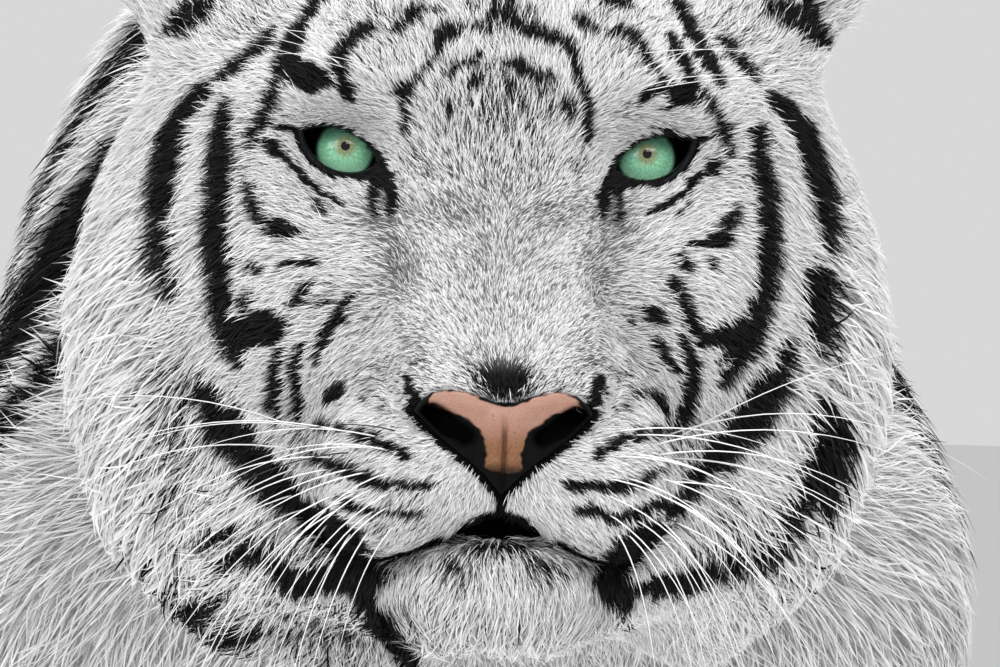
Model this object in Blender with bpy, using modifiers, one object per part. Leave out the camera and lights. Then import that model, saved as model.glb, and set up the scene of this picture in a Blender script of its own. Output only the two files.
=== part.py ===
"""A life-size standing white tiger, as a museum model: one closed solid for each named part of the body.

The tiger faces -Y and stands on the plane Z = 0, its left side at +X. The whole body is modelled first, from
ellipsoids, tapered limbs, a lofted trunk and a tail curve, and fused and smoothed into one form. Thin cuts then
part it into head, jaw, nose, ears, neck, trunk, legs, paws and lengths of tail. Metres throughout.
"""

import math
from collections import namedtuple

import bmesh
import bpy
from mathutils import Euler, Matrix, Vector

# Driving dimensions
EYE_MID = Vector((0.0, -0.45, 0.83))  # midway between the pupils
EYE_SPACING = 0.125
EYE_RADIUS = 0.0215
EYE_SEGMENTS = 16
EYE_SET_BACK = 0.0185  # eyeball centre behind the plane of the pupils
GAP = 0.0003  # clear space at every cut
VOXEL = 0.007  # grid of the fused form
SMOOTH_TURNS = 5
BODY_BLEND = 0.040  # radius of the fillets where trunk, neck and legs meet
HEAD_BLEND = 0.020
HEAD_SWELL = 0.004  # left on the head to make up for what smoothing takes off
PAW_BLEND = 0.005
JOIN_BLEND = 0.014  # fillet where head, body, paws and tail meet
BODY_SHARE = 0.0205  # share of the fused form's faces that is kept
HEAD_THINNING = 0.985  # how freely the head's faces are merged, against 1 for the rest
HEAD_BACK = -0.240  # where the head meets the neck
SIDES = (("left", 1), ("right", -1))

# Stance: how far each foot stands ahead of (-) or behind (+) the middle of its pair
FORE_STEP = {"left": -0.040, "right": 0.040}
HIND_STEP = {"left": -0.055, "right": 0.065}

# Trunk sections: place along Y, middle height, half width, half height
TRUNK = (
    (-0.205, 0.680, 0.060, 0.070),
    (-0.170, 0.680, 0.105, 0.120),
    (-0.100, 0.690, 0.160, 0.190),
    (0.020, 0.695, 0.195, 0.238),
    (0.160, 0.682, 0.214, 0.240),
    (0.360, 0.664, 0.222, 0.232),
    (0.560, 0.664, 0.214, 0.222),
    (0.750, 0.692, 0.192, 0.202),
    (0.900, 0.720, 0.180, 0.184),
    (1.040, 0.734, 0.150, 0.156),
    (1.130, 0.745, 0.098, 0.100),
    (1.165, 0.752, 0.045, 0.050),
)
TRUNK_SQUARENESS = 2.25  # 2 is an ellipse
TRUNK_SIDES = 40

# Tail: points along its middle line, each with the radius there
TAIL = (
    ((0.000, 1.090, 0.800), 0.064),
    ((0.000, 1.200, 0.755), 0.055),
    ((0.005, 1.285, 0.640), 0.048),
    ((0.010, 1.345, 0.490), 0.045),
    ((0.020, 1.420, 0.345), 0.043),
    ((0.035, 1.545, 0.245), 0.041),
    ((0.050, 1.690, 0.225), 0.037),
    ((0.060, 1.790, 0.262), 0.030),
)

COAT = {"base": (0.78, 0.78, 0.77, 1), "roughness": 0.85}
LEATHER = {"base": (0.72, 0.42, 0.33, 1), "roughness": 0.5}
EYE_GLASS = {"base": (0.24, 0.52, 0.36, 1), "roughness": 0.05}


def clear_scene():
    for obj in list(bpy.data.objects):
        bpy.data.objects.remove(obj)


def collection(name, rendered=True):
    made = bpy.data.collections.new(name)
    made.hide_render = not rendered
    bpy.context.scene.collection.children.link(made)
    return made


def material(name, look):
    made = bpy.data.materials.new(name)
    made.use_nodes = True
    shader = made.node_tree.nodes["Principled BSDF"]
    shader.inputs["Base Color"].default_value = look["base"]
    shader.inputs["Roughness"].default_value = look["roughness"]
    shader.inputs["Metallic"].default_value = 0.0
    return made


def add_object(name, shape, folder):
    """Turns a bmesh into an object in a collection."""
    bmesh.ops.recalc_face_normals(shape, faces=shape.faces)
    mesh = bpy.data.meshes.new(name)
    shape.to_mesh(mesh)
    shape.free()
    obj = bpy.data.objects.new(name, mesh)
    folder.objects.link(obj)
    return obj


def turned(degrees):
    return Euler([math.radians(angle) for angle in degrees]).to_matrix().to_4x4()


# Shapes of flesh


def ellipsoid(centre, radii, turn=(0, 0, 0), segments=32):
    shape = bmesh.new()
    place = Matrix.Translation(centre) @ turned(turn) @ Matrix.Diagonal((*radii, 1))
    bmesh.ops.create_uvsphere(
        shape, u_segments=segments, v_segments=segments // 2, radius=1, matrix=place
    )
    return shape


def limb(start, end, start_radii, end_radii, squareness=2):
    """A tapered limb with round ends: a ball whose two halves are drawn apart along its axis.

    The radii at each end are (across, in X) and (fore and aft, at right angles to the limb)."""
    start, end = Vector(start), Vector(end)
    along = (end - start).normalized()
    across = Vector((1, 0, 0))
    across = (across - along * across.dot(along)).normalized()
    fore = along.cross(across)
    shape = bmesh.new()
    bmesh.ops.create_uvsphere(shape, u_segments=32, v_segments=16, radius=1)
    for vert in shape.verts:
        x, y, z = vert.co
        centre, (wide, deep) = (
            (end, end_radii) if z > 1e-6 else (start, start_radii)
        )
        ring = math.hypot(x, y)
        corner = 1.0
        if ring > 1e-6:
            corner = (abs(x / ring) ** squareness + abs(y / ring) ** squareness) ** (
                -1 / squareness
            )
        vert.co = (
            centre
            + across * (x * wide * corner)
            + fore * (y * deep * corner)
            + along * (z * deep)
        )
    return shape


def loft(sections):
    """A closed skin through superellipse rings that stand across Y."""
    shape = bmesh.new()
    rings = []
    for place, middle, half_width, half_height in sections:
        ring = []
        for step in range(TRUNK_SIDES):
            angle = 2 * math.pi * step / TRUNK_SIDES
            ring.append(
                shape.verts.new(
                    (
                        half_width * rounded(math.cos(angle)),
                        place,
                        middle + half_height * rounded(math.sin(angle)),
                    )
                )
            )
        rings.append(ring)
    for near, far in zip(rings, rings[1:]):
        for step in range(TRUNK_SIDES):
            after = (step + 1) % TRUNK_SIDES
            shape.faces.new((near[step], near[after], far[after], far[step]))
    shape.faces.new(rings[0])
    shape.faces.new(rings[-1])
    return shape


def rounded(value):
    return math.copysign(abs(value) ** (2 / TRUNK_SQUARENESS), value)


def spread_sections(sections, between=3):
    """Adds sections between the named ones, on a smooth curve through them."""
    spread = []
    for index in range(len(sections) - 1):
        before = sections[max(index - 1, 0)]
        here, there = sections[index], sections[index + 1]
        after = sections[min(index + 2, len(sections) - 1)]
        for step in range(between):
            t = step / between
            spread.append(
                tuple(
                    catmull(*values, t) for values in zip(before, here, there, after)
                )
            )
    return spread + [sections[-1]]


def catmull(a, b, c, d, t):
    return 0.5 * (
        2 * b
        + (c - a) * t
        + (2 * a - 5 * b + 4 * c - d) * t**2
        + (3 * b - a - 3 * c + d) * t**3
    )


def tail_mesh(folder):
    """The tail as a bevelled curve, made a mesh so that it can be fused."""
    curve = bpy.data.curves.new("tail_line", "CURVE")
    curve.dimensions = "3D"
    curve.bevel_depth = 1.0
    curve.bevel_resolution = 4
    curve.use_fill_caps = True
    spline = curve.splines.new("POLY")
    points = spread_sections([(*place, radius) for place, radius in TAIL], 5)
    spline.points.add(len(points) - 1)
    for point, (x, y, z, radius) in zip(spline.points, points):
        point.co = (x, y, z, 1)
        point.radius = radius
    line = bpy.data.objects.new("tail_line", curve)
    folder.objects.link(line)
    bpy.context.view_layer.update()
    graph = bpy.context.evaluated_depsgraph_get()
    shape = bmesh.new()
    shape.from_mesh(bpy.data.meshes.new_from_object(line.evaluated_get(graph)))
    bmesh.ops.remove_doubles(shape, verts=shape.verts, dist=1e-5)
    tip, tip_radius = TAIL[-1]
    bmesh.ops.create_uvsphere(
        shape,
        u_segments=24,
        v_segments=12,
        radius=tip_radius,
        matrix=Matrix.Translation(tip),
    )
    bpy.data.objects.remove(line)
    return shape


# Parts of the animal, each a list of shapes


def at_head(x, y, z):
    return EYE_MID + Vector((x, y, z))


def head_forms():
    forms = [
        ellipsoid(at_head(0, 0.100, -0.006), (0.118, 0.130, 0.104)),  # cranium
        ellipsoid(at_head(0, 0.034, 0.020), (0.086, 0.058, 0.064), (-30, 0, 0)),
        limb(  # bridge of the nose, broad and flat
            at_head(0, 0.004, -0.012),
            at_head(0, -0.086, -0.108),
            (0.046, 0.040),
            (0.041, 0.034),
            2.8,
        ),
        ellipsoid(at_head(0, -0.045, -0.120), (0.074, 0.070, 0.056)),  # muzzle
        ellipsoid(at_head(0, -0.112, -0.112), (0.034, 0.026, 0.027)),  # nose
        ellipsoid(at_head(0, -0.068, -0.177), (0.050, 0.042, 0.032)),  # chin
    ]
    for _, side in SIDES:
        forms += [
            ellipsoid(  # brow
                at_head(side * 0.062, 0.016, 0.030),
                (0.044, 0.034, 0.020),
                (0, side * 14, -side * 18),
            ),
            ellipsoid(at_head(side * 0.096, 0.098, 0.046), (0.050, 0.058, 0.050)),
            ellipsoid(at_head(side * 0.090, 0.058, -0.045), (0.056, 0.072, 0.082)),
            ellipsoid(at_head(side * 0.058, 0.010, -0.066), (0.050, 0.046, 0.052)),
            ellipsoid(  # whisker pad
                at_head(side * 0.0375, -0.085, -0.134),
                (0.0415, 0.042, 0.034),
                (0, side * 22, side * 20),
            ),
            limb(  # jaw
                at_head(side * 0.018, -0.045, -0.176),
                at_head(side * 0.078, 0.080, -0.135),
                (0.034, 0.034),
                (0.060, 0.060),
            ),
            ellipsoid(  # ruff
                at_head(side * 0.114, 0.118, -0.100),
                (0.072, 0.080, 0.128),
                (0, side * 12, 0),
            ),
            limb(  # ruff running back into the neck
                at_head(side * 0.090, 0.120, -0.090),
                at_head(side * 0.080, 0.300, -0.070),
                (0.085, 0.110),
                (0.090, 0.130),
            ),
        ]
    return forms


def neck_forms():
    return [
        limb((0, 0.04, 0.745), (0, -0.290, 0.805), (0.175, 0.190), (0.140, 0.130)),
        limb((0, -0.05, 0.640), (0, -0.290, 0.735), (0.140, 0.140), (0.135, 0.125)),
    ]


class Paw(namedtuple("Paw", "out along half_width half_length half_height")):
    """A paw's place beside the midline and along the body, and its size."""

    def at(self, side, step):
        return (side * self.out, self.along + step, *self[2:])


FOREPAW = Paw(0.139, -0.062, 0.082, 0.106, 0.058)
HINDPAW = Paw(0.132, 0.950, 0.072, 0.100, 0.052)


def paw_forms(x, y, half_width, half_length, half_height):
    """The pad and back of a paw, with four toes in front."""
    forms = [
        ellipsoid(
            (x, y, half_height * 0.85), (half_width, half_length, half_height), segments=24
        )
    ]
    for spread, reach in ((-0.66, 0.020), (-0.23, -0.032), (0.23, -0.032), (0.66, 0.020)):
        toe = (
            x + spread * half_width,
            y - 0.70 * half_length + reach,
            0.58 * half_height,
        )
        radii = (0.36 * half_width, 0.44 * half_length, 0.74 * half_height)
        forms.append(ellipsoid(toe, radii, segments=20))
    return forms


def foreleg_forms(name, side):
    step = FORE_STEP[name]
    elbow = (side * 0.150, 0.047 + 0.3 * step, 0.485)
    wrist = (side * 0.137, step, 0.185)
    shoulder = (side * 0.150, -0.067, 0.640)
    return [
        limb((side * 0.100, 0.060, 0.840), shoulder, (0.080, 0.095), (0.098, 0.120)),
        limb(shoulder, elbow, (0.098, 0.120), (0.084, 0.096)),
        limb(elbow, wrist, (0.082, 0.094), (0.062, 0.064)),
        limb(wrist, (side * 0.137, step - 0.025, 0.065), (0.064, 0.062), (0.066, 0.060)),
    ]


def hind_leg_forms(name, side):
    step = HIND_STEP[name]
    knee = (side * 0.145, 0.827 + 0.4 * step, 0.510)
    hock = (side * 0.132, 1.044 + step, 0.287)
    return [
        limb((side * 0.090, 0.930, 0.745), knee, (0.098, 0.148), (0.088, 0.120)),
        limb(knee, hock, (0.086, 0.105), (0.048, 0.056)),
        limb(hock, (side * 0.130, 0.995 + step, 0.075), (0.046, 0.050), (0.054, 0.052)),
    ]


def ear_place(side):
    turn = Euler([math.radians(a) for a in (-10, side * 22, side * 30)]).to_matrix()
    return at_head(side * 0.124, 0.094, 0.098), turn.to_4x4()


def ear_shape(side, radii, forward=0.0):
    centre, turn = ear_place(side)
    shape = bmesh.new()
    place = Matrix.Translation(centre + Vector((0, -forward, 0))) @ turn
    bmesh.ops.create_uvsphere(
        shape,
        u_segments=18,
        v_segments=10,
        radius=1,
        matrix=place @ Matrix.Diagonal((*radii, 1)),
    )
    return shape


# Fusing and parting


def with_modifier(obj, kind, **settings):
    modifier = obj.modifiers.new(kind.title(), kind)
    for key, value in settings.items():
        setattr(modifier, key, value)
    return modifier


def applied(obj):
    """Makes the object's mesh what its modifiers give, and drops the modifiers."""
    bpy.context.view_layer.update()
    graph = bpy.context.evaluated_depsgraph_get()
    obj.data = bpy.data.meshes.new_from_object(obj.evaluated_get(graph))
    obj.modifiers.clear()
    return obj


def join(name, shapes, folder):
    whole = bmesh.new()
    for shape in shapes:
        piece = bpy.data.meshes.new(name)
        shape.to_mesh(piece)
        shape.free()
        whole.from_mesh(piece)
        bpy.data.meshes.remove(piece)
    return add_object(name, whole, folder)


def fused(name, shapes, blend, folder, swell=0.0):
    """Shapes made one, with a fillet of radius blend in every crease.

    The shapes are grown by that much, fused, smoothed, and drawn back in, all but the swell."""
    obj = join(name, shapes, folder)
    with_modifier(obj, "DISPLACE", strength=blend, mid_level=0.0)
    with_modifier(obj, "REMESH", mode="VOXEL", voxel_size=VOXEL)
    with_modifier(obj, "SMOOTH", factor=0.5, iterations=4)
    with_modifier(obj, "DISPLACE", strength=swell - blend, mid_level=0.0)
    with_modifier(obj, "REMESH", mode="VOXEL", voxel_size=VOXEL)
    return applied(obj)


def shape_of(obj):
    """An object's mesh as a bmesh, the object itself being dropped."""
    shape = bmesh.new()
    shape.from_mesh(obj.data)
    bpy.data.objects.remove(obj)
    return shape


def whole_body(folder):
    """All the flesh as one smooth closed form, with finer faces on the head."""
    big, feet = [loft(spread_sections(TRUNK))] + neck_forms(), []
    for name, side in SIDES:
        big += foreleg_forms(name, side) + hind_leg_forms(name, side)
        feet += paw_forms(*FOREPAW.at(side, FORE_STEP[name]))
        feet += paw_forms(*HINDPAW.at(side, HIND_STEP[name]))
    groups = (
        (big, BODY_BLEND, 0.0),
        (head_forms(), HEAD_BLEND, HEAD_SWELL),
        (feet, PAW_BLEND, 0.0),
        ([tail_mesh(folder)], PAW_BLEND, 0.0),
    )
    whole = [
        shape_of(fused("flesh", shapes, blend, folder, swell))
        for shapes, blend, swell in groups
    ]
    body = fused("whole_body", whole, JOIN_BLEND, folder)
    with_modifier(body, "SMOOTH", factor=0.5, iterations=SMOOTH_TURNS)
    applied(body)
    thinning = body.vertex_groups.new(name="thinning")
    for vert in body.data.vertices:
        weight = HEAD_THINNING if vert.co.y < HEAD_BACK else 1.0
        thinning.add([vert.index], weight, "REPLACE")
    with_modifier(
        body,
        "DECIMATE",
        ratio=BODY_SHARE,
        vertex_group="thinning",
        vertex_group_factor=1.0,
    )
    return applied(body)


def box(name, centre, size, turn, folder, grow=0.0):
    shape = bmesh.new()
    sides = [length + 2 * grow for length in size]
    place = Matrix.Translation(centre) @ turned(turn) @ Matrix.Diagonal((*sides, 1))
    bmesh.ops.create_cube(shape, size=1, matrix=place)
    return add_object(name, shape, folder)


def cut(obj, cutter, operation):
    with_modifier(obj, "BOOLEAN", operation=operation, object=cutter, solver="EXACT")
    return applied(obj)


def copy_of(obj, name, folder):
    made = bpy.data.objects.new(name, obj.data.copy())
    folder.objects.link(made)
    return made


def part_off(body, name, centre, size, turn, parts, tools):
    """Takes the flesh inside a box off the body as a node of its own, leaving a thin gap."""
    piece = copy_of(body, name, parts)
    cut(piece, box(f"{name}_keep", centre, size, turn, tools, -GAP / 2), "INTERSECT")
    cut(body, box(f"{name}_clear", centre, size, turn, tools, GAP / 2), "DIFFERENCE")
    return piece


def part_boxes():
    """The boxes that part the body, in the order of the cuts: name, centre, size, turn in degrees."""
    head = EYE_MID
    boxes = [
        ("nose", head + Vector((0, -0.128, -0.120)), (0.062, 0.030, 0.038), (8, 0, 0)),
        ("jaw", head + Vector((0, -0.110, -0.206)), (0.200, 0.170, 0.100), (-7, 0, 0)),
        ("head", Vector((0, HEAD_BACK - 0.25, 0.80)), (0.60, 0.50, 0.60), (0, 0, 0)),
        ("neck", Vector((0, -0.217, 0.72)), (0.60, 0.24, 0.90), (-18, 0, 0)),
        ("tail_tip", Vector((0.04, 1.70, 0.30)), (0.30, 0.32, 0.40), (0, 0, 0)),
        ("tail_middle", Vector((0.02, 1.45, 0.30)), (0.30, 0.60, 0.40), (0, 0, 0)),
        ("tail_base", Vector((0, 1.37, 0.72)), (0.30, 0.46, 0.60), (-18, 0, 0)),
    ]
    for name, side in SIDES:
        fore = Vector((side * 0.161, FORE_STEP[name], 0))
        hind = Vector((side * 0.161, HIND_STEP[name], 0))
        level, sloping = (0, 0, 0), (28, 0, 0)
        boxes += [
            (f"forepaw_{name}", fore + Vector((0, -0.03, 0.03)), (0.32, 0.50, 0.14), level),
            (f"foreleg_{name}", fore + Vector((0, 0.00, 0.22)), (0.32, 0.50, 0.45), level),
            (f"hindpaw_{name}", hind + Vector((0, 0.97, 0.03)), (0.32, 0.50, 0.14), level),
            (f"shank_{name}", hind + Vector((0, 0.99, 0.205)), (0.32, 0.50, 0.34), level),
            (f"thigh_{name}", Vector((side * 0.161, 0.980, 0.442)), (0.32, 0.62, 0.32), sloping),
        ]
    return boxes


def flat_soles(body, tools):
    """Trims the soles to small flats at one level, and sets that level at Z = 0."""
    floor = box("floor", (0, 0.6, -0.5), (3, 4, 1.0), (0, 0, 0), tools)
    cut(body, floor, "DIFFERENCE")


def carve_eye(head, name, side, parts, tools):
    """A shallow dent round the eye, an almond-shaped opening, a socket, and the eyeball in it."""
    centre = at_head(side * EYE_SPACING / 2, EYE_SET_BACK, 0)
    dent = ellipsoid(centre + Vector((0, -0.053, 0)), (0.030, 0.031, 0.021), segments=16)
    cut(head, add_object(f"eye_dent_{name}", dent, tools), "DIFFERENCE")
    opening = ellipsoid(
        centre + Vector((side * 0.002, -0.040, 0)),
        (0.0175, 0.036, 0.0100),
        (0, -side * 21, 0),
        segments=16,
    )
    cut(head, add_object(f"eye_opening_{name}", opening, tools), "DIFFERENCE")
    socket = bmesh.new()
    bmesh.ops.create_uvsphere(
        socket,
        u_segments=EYE_SEGMENTS,
        v_segments=EYE_SEGMENTS // 2,
        radius=EYE_RADIUS + 3 * GAP,
        matrix=Matrix.Translation(centre),
    )
    cut(head, add_object(f"eye_socket_{name}", socket, tools), "DIFFERENCE")
    ball = bmesh.new()
    bmesh.ops.create_uvsphere(
        ball,
        u_segments=EYE_SEGMENTS,
        v_segments=EYE_SEGMENTS // 2,
        radius=EYE_RADIUS,
        matrix=Matrix.Translation(centre),
    )
    return add_object(f"eye_{name}", ball, parts)


def add_ear(head, name, side, parts, tools):
    """A cupped ear: an outer form less an inner one, seated on the head with a thin gap."""
    ear = add_object(f"ear_{name}", ear_shape(side, (0.054, 0.030, 0.064)), parts)
    cup = add_object(f"ear_cup_{name}", ear_shape(side, (0.044, 0.026, 0.054), 0.018), tools)
    cut(ear, cup, "DIFFERENCE")
    swollen = copy_of(head, f"ear_seat_{name}", tools)
    with_modifier(swollen, "DISPLACE", strength=3 * GAP, mid_level=0.0)
    cut(ear, applied(swollen), "DIFFERENCE")
    return ear


def largest_piece_only(obj):
    """Drops crumbs that a cut leaves beside the piece itself."""
    shape = bmesh.new()
    shape.from_mesh(obj.data)
    unseen = set(shape.verts)
    islands = []
    while unseen:
        stack = [unseen.pop()]
        island = list(stack)
        while stack:
            for edge in stack.pop().link_edges:
                for vert in edge.verts:
                    if vert in unseen:
                        unseen.remove(vert)
                        island.append(vert)
                        stack.append(vert)
        islands.append(island)
    islands.sort(key=len)
    crumbs = [vert for island in islands[:-1] for vert in island]
    bmesh.ops.delete(shape, geom=crumbs, context="VERTS")
    shape.to_mesh(obj.data)
    shape.free()


def finish(obj, look):
    largest_piece_only(obj)
    obj.data.materials.clear()
    obj.data.materials.append(look)
    obj.data.shade_smooth()


def centre_on_floor(objects):
    """Moves the tiger so that the origin is under the middle of its box."""
    corners = [vert.co for obj in objects for vert in obj.data.vertices]
    low = Vector(min(corner[axis] for corner in corners) for axis in range(3))
    high = Vector(max(corner[axis] for corner in corners) for axis in range(3))
    middle = (low + high) / 2
    for obj in objects:
        obj.data.transform(Matrix.Translation((-middle.x, -middle.y, -low.z)))


def main():
    clear_scene()
    parts = collection("white_tiger")
    tools = collection("cutters", rendered=False)
    coat = material("coat", COAT)
    leather = material("nose_leather", LEATHER)
    glass = material("eye_glass", EYE_GLASS)

    body = whole_body(tools)
    flat_soles(body, tools)
    nodes = {}
    for name, centre, size, turn in part_boxes():
        nodes[name] = part_off(body, name, centre, size, turn, parts, tools)
    nodes["trunk"] = copy_of(body, "trunk", parts)
    for name, side in SIDES:
        nodes[f"ear_{name}"] = add_ear(nodes["head"], name, side, parts, tools)
        nodes[f"eye_{name}"] = carve_eye(nodes["head"], name, side, parts, tools)

    for name, obj in nodes.items():
        look = {"nose": leather, "eye_left": glass, "eye_right": glass}.get(name, coat)
        finish(obj, look)
    centre_on_floor(list(nodes.values()))
    for tool in tools.objects:
        tool.hide_render = True
        tool.display_type = "WIRE"


main()
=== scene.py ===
import math

import bpy
import numpy as np
from mathutils import Matrix, Vector


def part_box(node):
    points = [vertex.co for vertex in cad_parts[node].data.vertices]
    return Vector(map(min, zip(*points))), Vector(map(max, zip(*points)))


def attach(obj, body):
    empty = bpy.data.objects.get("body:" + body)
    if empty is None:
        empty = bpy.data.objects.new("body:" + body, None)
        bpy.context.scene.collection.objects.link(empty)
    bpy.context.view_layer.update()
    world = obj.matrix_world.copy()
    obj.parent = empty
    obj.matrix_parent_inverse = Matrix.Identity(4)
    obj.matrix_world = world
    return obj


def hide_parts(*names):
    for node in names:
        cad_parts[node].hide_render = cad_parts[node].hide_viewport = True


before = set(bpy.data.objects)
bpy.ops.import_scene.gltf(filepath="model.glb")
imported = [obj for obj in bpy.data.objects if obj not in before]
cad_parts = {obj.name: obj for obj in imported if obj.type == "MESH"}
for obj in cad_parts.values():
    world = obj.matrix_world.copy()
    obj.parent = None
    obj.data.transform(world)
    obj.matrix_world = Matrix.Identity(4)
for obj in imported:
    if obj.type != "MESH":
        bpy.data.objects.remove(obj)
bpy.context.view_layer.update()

# The tiger is worked out standing with its head towards -Y, its left side at +X, in metres.
# Everything is then moved by "shift", so that its eyes are where the frame has them.
stance = {
    "eyeApart": 0.125,
    "eyeAhead": -0.45,
    "eyeHeight": 0.83,
    "eyeRadius": 0.0215,
    "eyeSetBack": 0.0185,  # the ball's centre behind the plane of the pupils
    "foreStep": {1: -0.040, -1: 0.040},  # each foot ahead of (-) or behind (+) the middle of its pair
    "hindStep": {1: -0.055, -1: 0.065},
}
eyeMid = np.array([0, stance["eyeAhead"], stance["eyeHeight"]])
eyeLow, eyeHigh = (np.array(corner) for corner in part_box("eye_left"))
eyeHome = eyeMid + [stance["eyeApart"] / 2, stance["eyeSetBack"], 0]
shift = (eyeLow + eyeHigh) / 2 - eyeHome
rng = np.random.default_rng(11)


def report(words):
    print("stage:", words)


# Every form below is a field: the distance to a surface in metres, less than 0 inside.

# smooth union: the lesser of two, rounded off where they are closer than k
def smoothMin(a, b, k):
    h = np.maximum(k - np.abs(a - b), 0) / k
    return np.minimum(a, b) - h * h * k / 4


# smooth overlap: the greater of two
def smoothMax(a, b, k):
    return -smoothMin(-a, -b, k)


# 0 below low, 1 above high, and an S curve between
def ease(low, high, value):
    t = np.clip((value - low) / (high - low), 0, 1)
    return t * t * (3 - 2 * t)


# a bell curve of the distance from a centre, with its own width along each axis
def bell(p, centre, widths):
    q = (p - column(centre)) / column(widths)
    return np.exp(-(q * q).sum(0))


# three values as a column, to go with an array of places
def column(values):
    return np.asarray(values, np.float32)[:, None]


# places measured from the point between the pupils
def fromEyes(p):
    return p - column(eyeMid)


# both sides as one: the distance from the middle plane in place of X
def folded(q):
    return np.stack([np.abs(q[0]), q[1], q[2]])


# the matrix that turns by degrees about X, then Y, then Z
def turnMatrix(turn):
    (cx, cy, cz), (sx, sy, sz) = np.cos(np.radians(turn)), np.sin(np.radians(turn))
    aboutX = np.array([[1, 0, 0], [0, cx, -sx], [0, sx, cx]])
    aboutY = np.array([[cy, 0, sy], [0, 1, 0], [-sy, 0, cy]])
    aboutZ = np.array([[cz, -sz, 0], [sz, cz, 0], [0, 0, 1]])
    return (aboutZ @ aboutY @ aboutX).astype(np.float32)


# ellipsoid: a(a - 1)/b, where a and b are the lengths of the place over the radii and over their squares
def ball(p, centre, radii, turn=(0, 0, 0)):
    q = p - column(centre)
    if any(turn):
        q = turnMatrix(turn).T @ q
    q = q / column(radii)
    a = np.sqrt((q * q).sum(0))
    q = q / column(radii)
    return a * (a - 1) / (np.sqrt((q * q).sum(0)) + 1e-6)


# tapered limb: the distance to the line between two points, less a radius that changes evenly along it;
# it may be wider in X than it is deep, and squarer than round
def limb(p, start, end, startRadii, endRadii, boxy=2):
    start, end = column(start), column(end)
    startRadii, endRadii = np.atleast_1d(startRadii), np.atleast_1d(endRadii)
    along = end - start
    q = p - start
    t = np.clip((along * q).sum(0) / (along * along).sum(), 0, 1)
    q = q - along * t
    wide = startRadii[0] + (endRadii[0] - startRadii[0]) * t
    deep = startRadii[-1] + (endRadii[-1] - startRadii[-1]) * t
    u, v = np.abs(q[0]) / wide, np.hypot(q[1], q[2]) / deep
    k = (u**boxy + v**boxy) ** (1 / boxy)
    slope = np.hypot(u / wide, v / deep) / np.maximum(np.hypot(u, v), 1e-6)
    return (k - 1) / np.maximum(slope, 1e-6)


# a smooth curve through (xs, ys) that never overshoots, read at x
def throughPoints(x, xs, ys):
    xs, ys = np.array(xs, np.float32), np.array(ys, np.float32)
    step = np.diff(xs)
    rise = np.diff(ys) / step
    slope = np.r_[rise[0], np.zeros(len(rise) - 1), rise[-1]].astype(np.float32)
    both = rise[:-1] * rise[1:]
    slope[1:-1] = np.where(both > 0, 2 * both / (rise[:-1] + rise[1:] + 1e-12), 0)
    i = np.clip(np.searchsorted(xs, x) - 1, 0, len(step) - 1)
    t = np.clip((x - xs[i]) / step[i], 0, 1)
    start = (2 * t**3 - 3 * t**2 + 1) * ys[i] + (t**3 - 2 * t**2 + t) * step[i] * slope[i]
    return start + (3 * t**2 - 2 * t**3) * ys[i + 1] + (t**3 - t**2) * step[i] * slope[i + 1]


trunkShape = {  # along Y: middle height, half width, half height
    "y": [-0.220, -0.17, -0.10, 0.02, 0.16, 0.36, 0.56, 0.75, 0.90, 1.04, 1.13, 1.175],
    "middle": [0.680, 0.680, 0.690, 0.695, 0.682, 0.664, 0.664, 0.692, 0.720, 0.734, 0.745, 0.755],
    "width": [0.001, 0.105, 0.160, 0.195, 0.214, 0.222, 0.214, 0.192, 0.180, 0.150, 0.098, 0.001],
    "height": [0.001, 0.120, 0.190, 0.238, 0.240, 0.232, 0.222, 0.202, 0.184, 0.156, 0.100, 0.001],
    "squareness": 2.25,
}
tailShape = {  # points along the middle line, and the radius at each
    "x": [0, 0, 0.005, 0.010, 0.020, 0.035, 0.050, 0.060],
    "y": [1.090, 1.200, 1.285, 1.345, 1.420, 1.545, 1.690, 1.790],
    "z": [0.800, 0.755, 0.640, 0.490, 0.345, 0.245, 0.225, 0.262],
    "radius": [0.064, 0.055, 0.048, 0.045, 0.043, 0.041, 0.037, 0.030],
    "pieces": 26,
}
pawShape = {  # sideways, place along Y, half width, half length, half height
    "fore": (0.139, -0.062, 0.082, 0.106, 0.058),
    "hind": (0.132, 0.950, 0.072, 0.100, 0.052),
    "toes": ((-0.66, 0.020), (-0.23, -0.032), (0.23, -0.032), (0.66, 0.020)),  # in half widths, and along Y
}


# superellipse sections across Y: (|x/width|^n + |z/height|^n)^(1/n) - 1, times the lesser of width and height
def trunk(p):
    x, y, z = p
    middle, width, height = (
        throughPoints(y, trunkShape["y"], trunkShape[key]) for key in ("middle", "width", "height")
    )
    n = trunkShape["squareness"]
    k = (np.abs(x / width) ** n + np.abs((z - middle) / height) ** n) ** (1 / n)
    ends = np.maximum(trunkShape["y"][0] - y, y - trunkShape["y"][-1])
    return np.maximum((k - 1) * np.minimum(width, height), ends)


# points along the tail's middle line, as an array of x, y, z and radius
def tailLine(count):
    t = np.linspace(0, 1, count).astype(np.float32)
    places = np.linspace(0, 1, len(tailShape["x"]))
    return np.stack([throughPoints(t, places, tailShape[key]) for key in ("x", "y", "z", "radius")], 1)


# tapered limbs joined end to end
def tail(p):
    line = tailLine(tailShape["pieces"])
    f = np.full(p.shape[1], 9, np.float32)
    for a, b in zip(line, line[1:]):
        f = smoothMin(f, limb(p, a[:3], b[:3], a[3], b[3]), 0.004)
    return f


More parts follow.
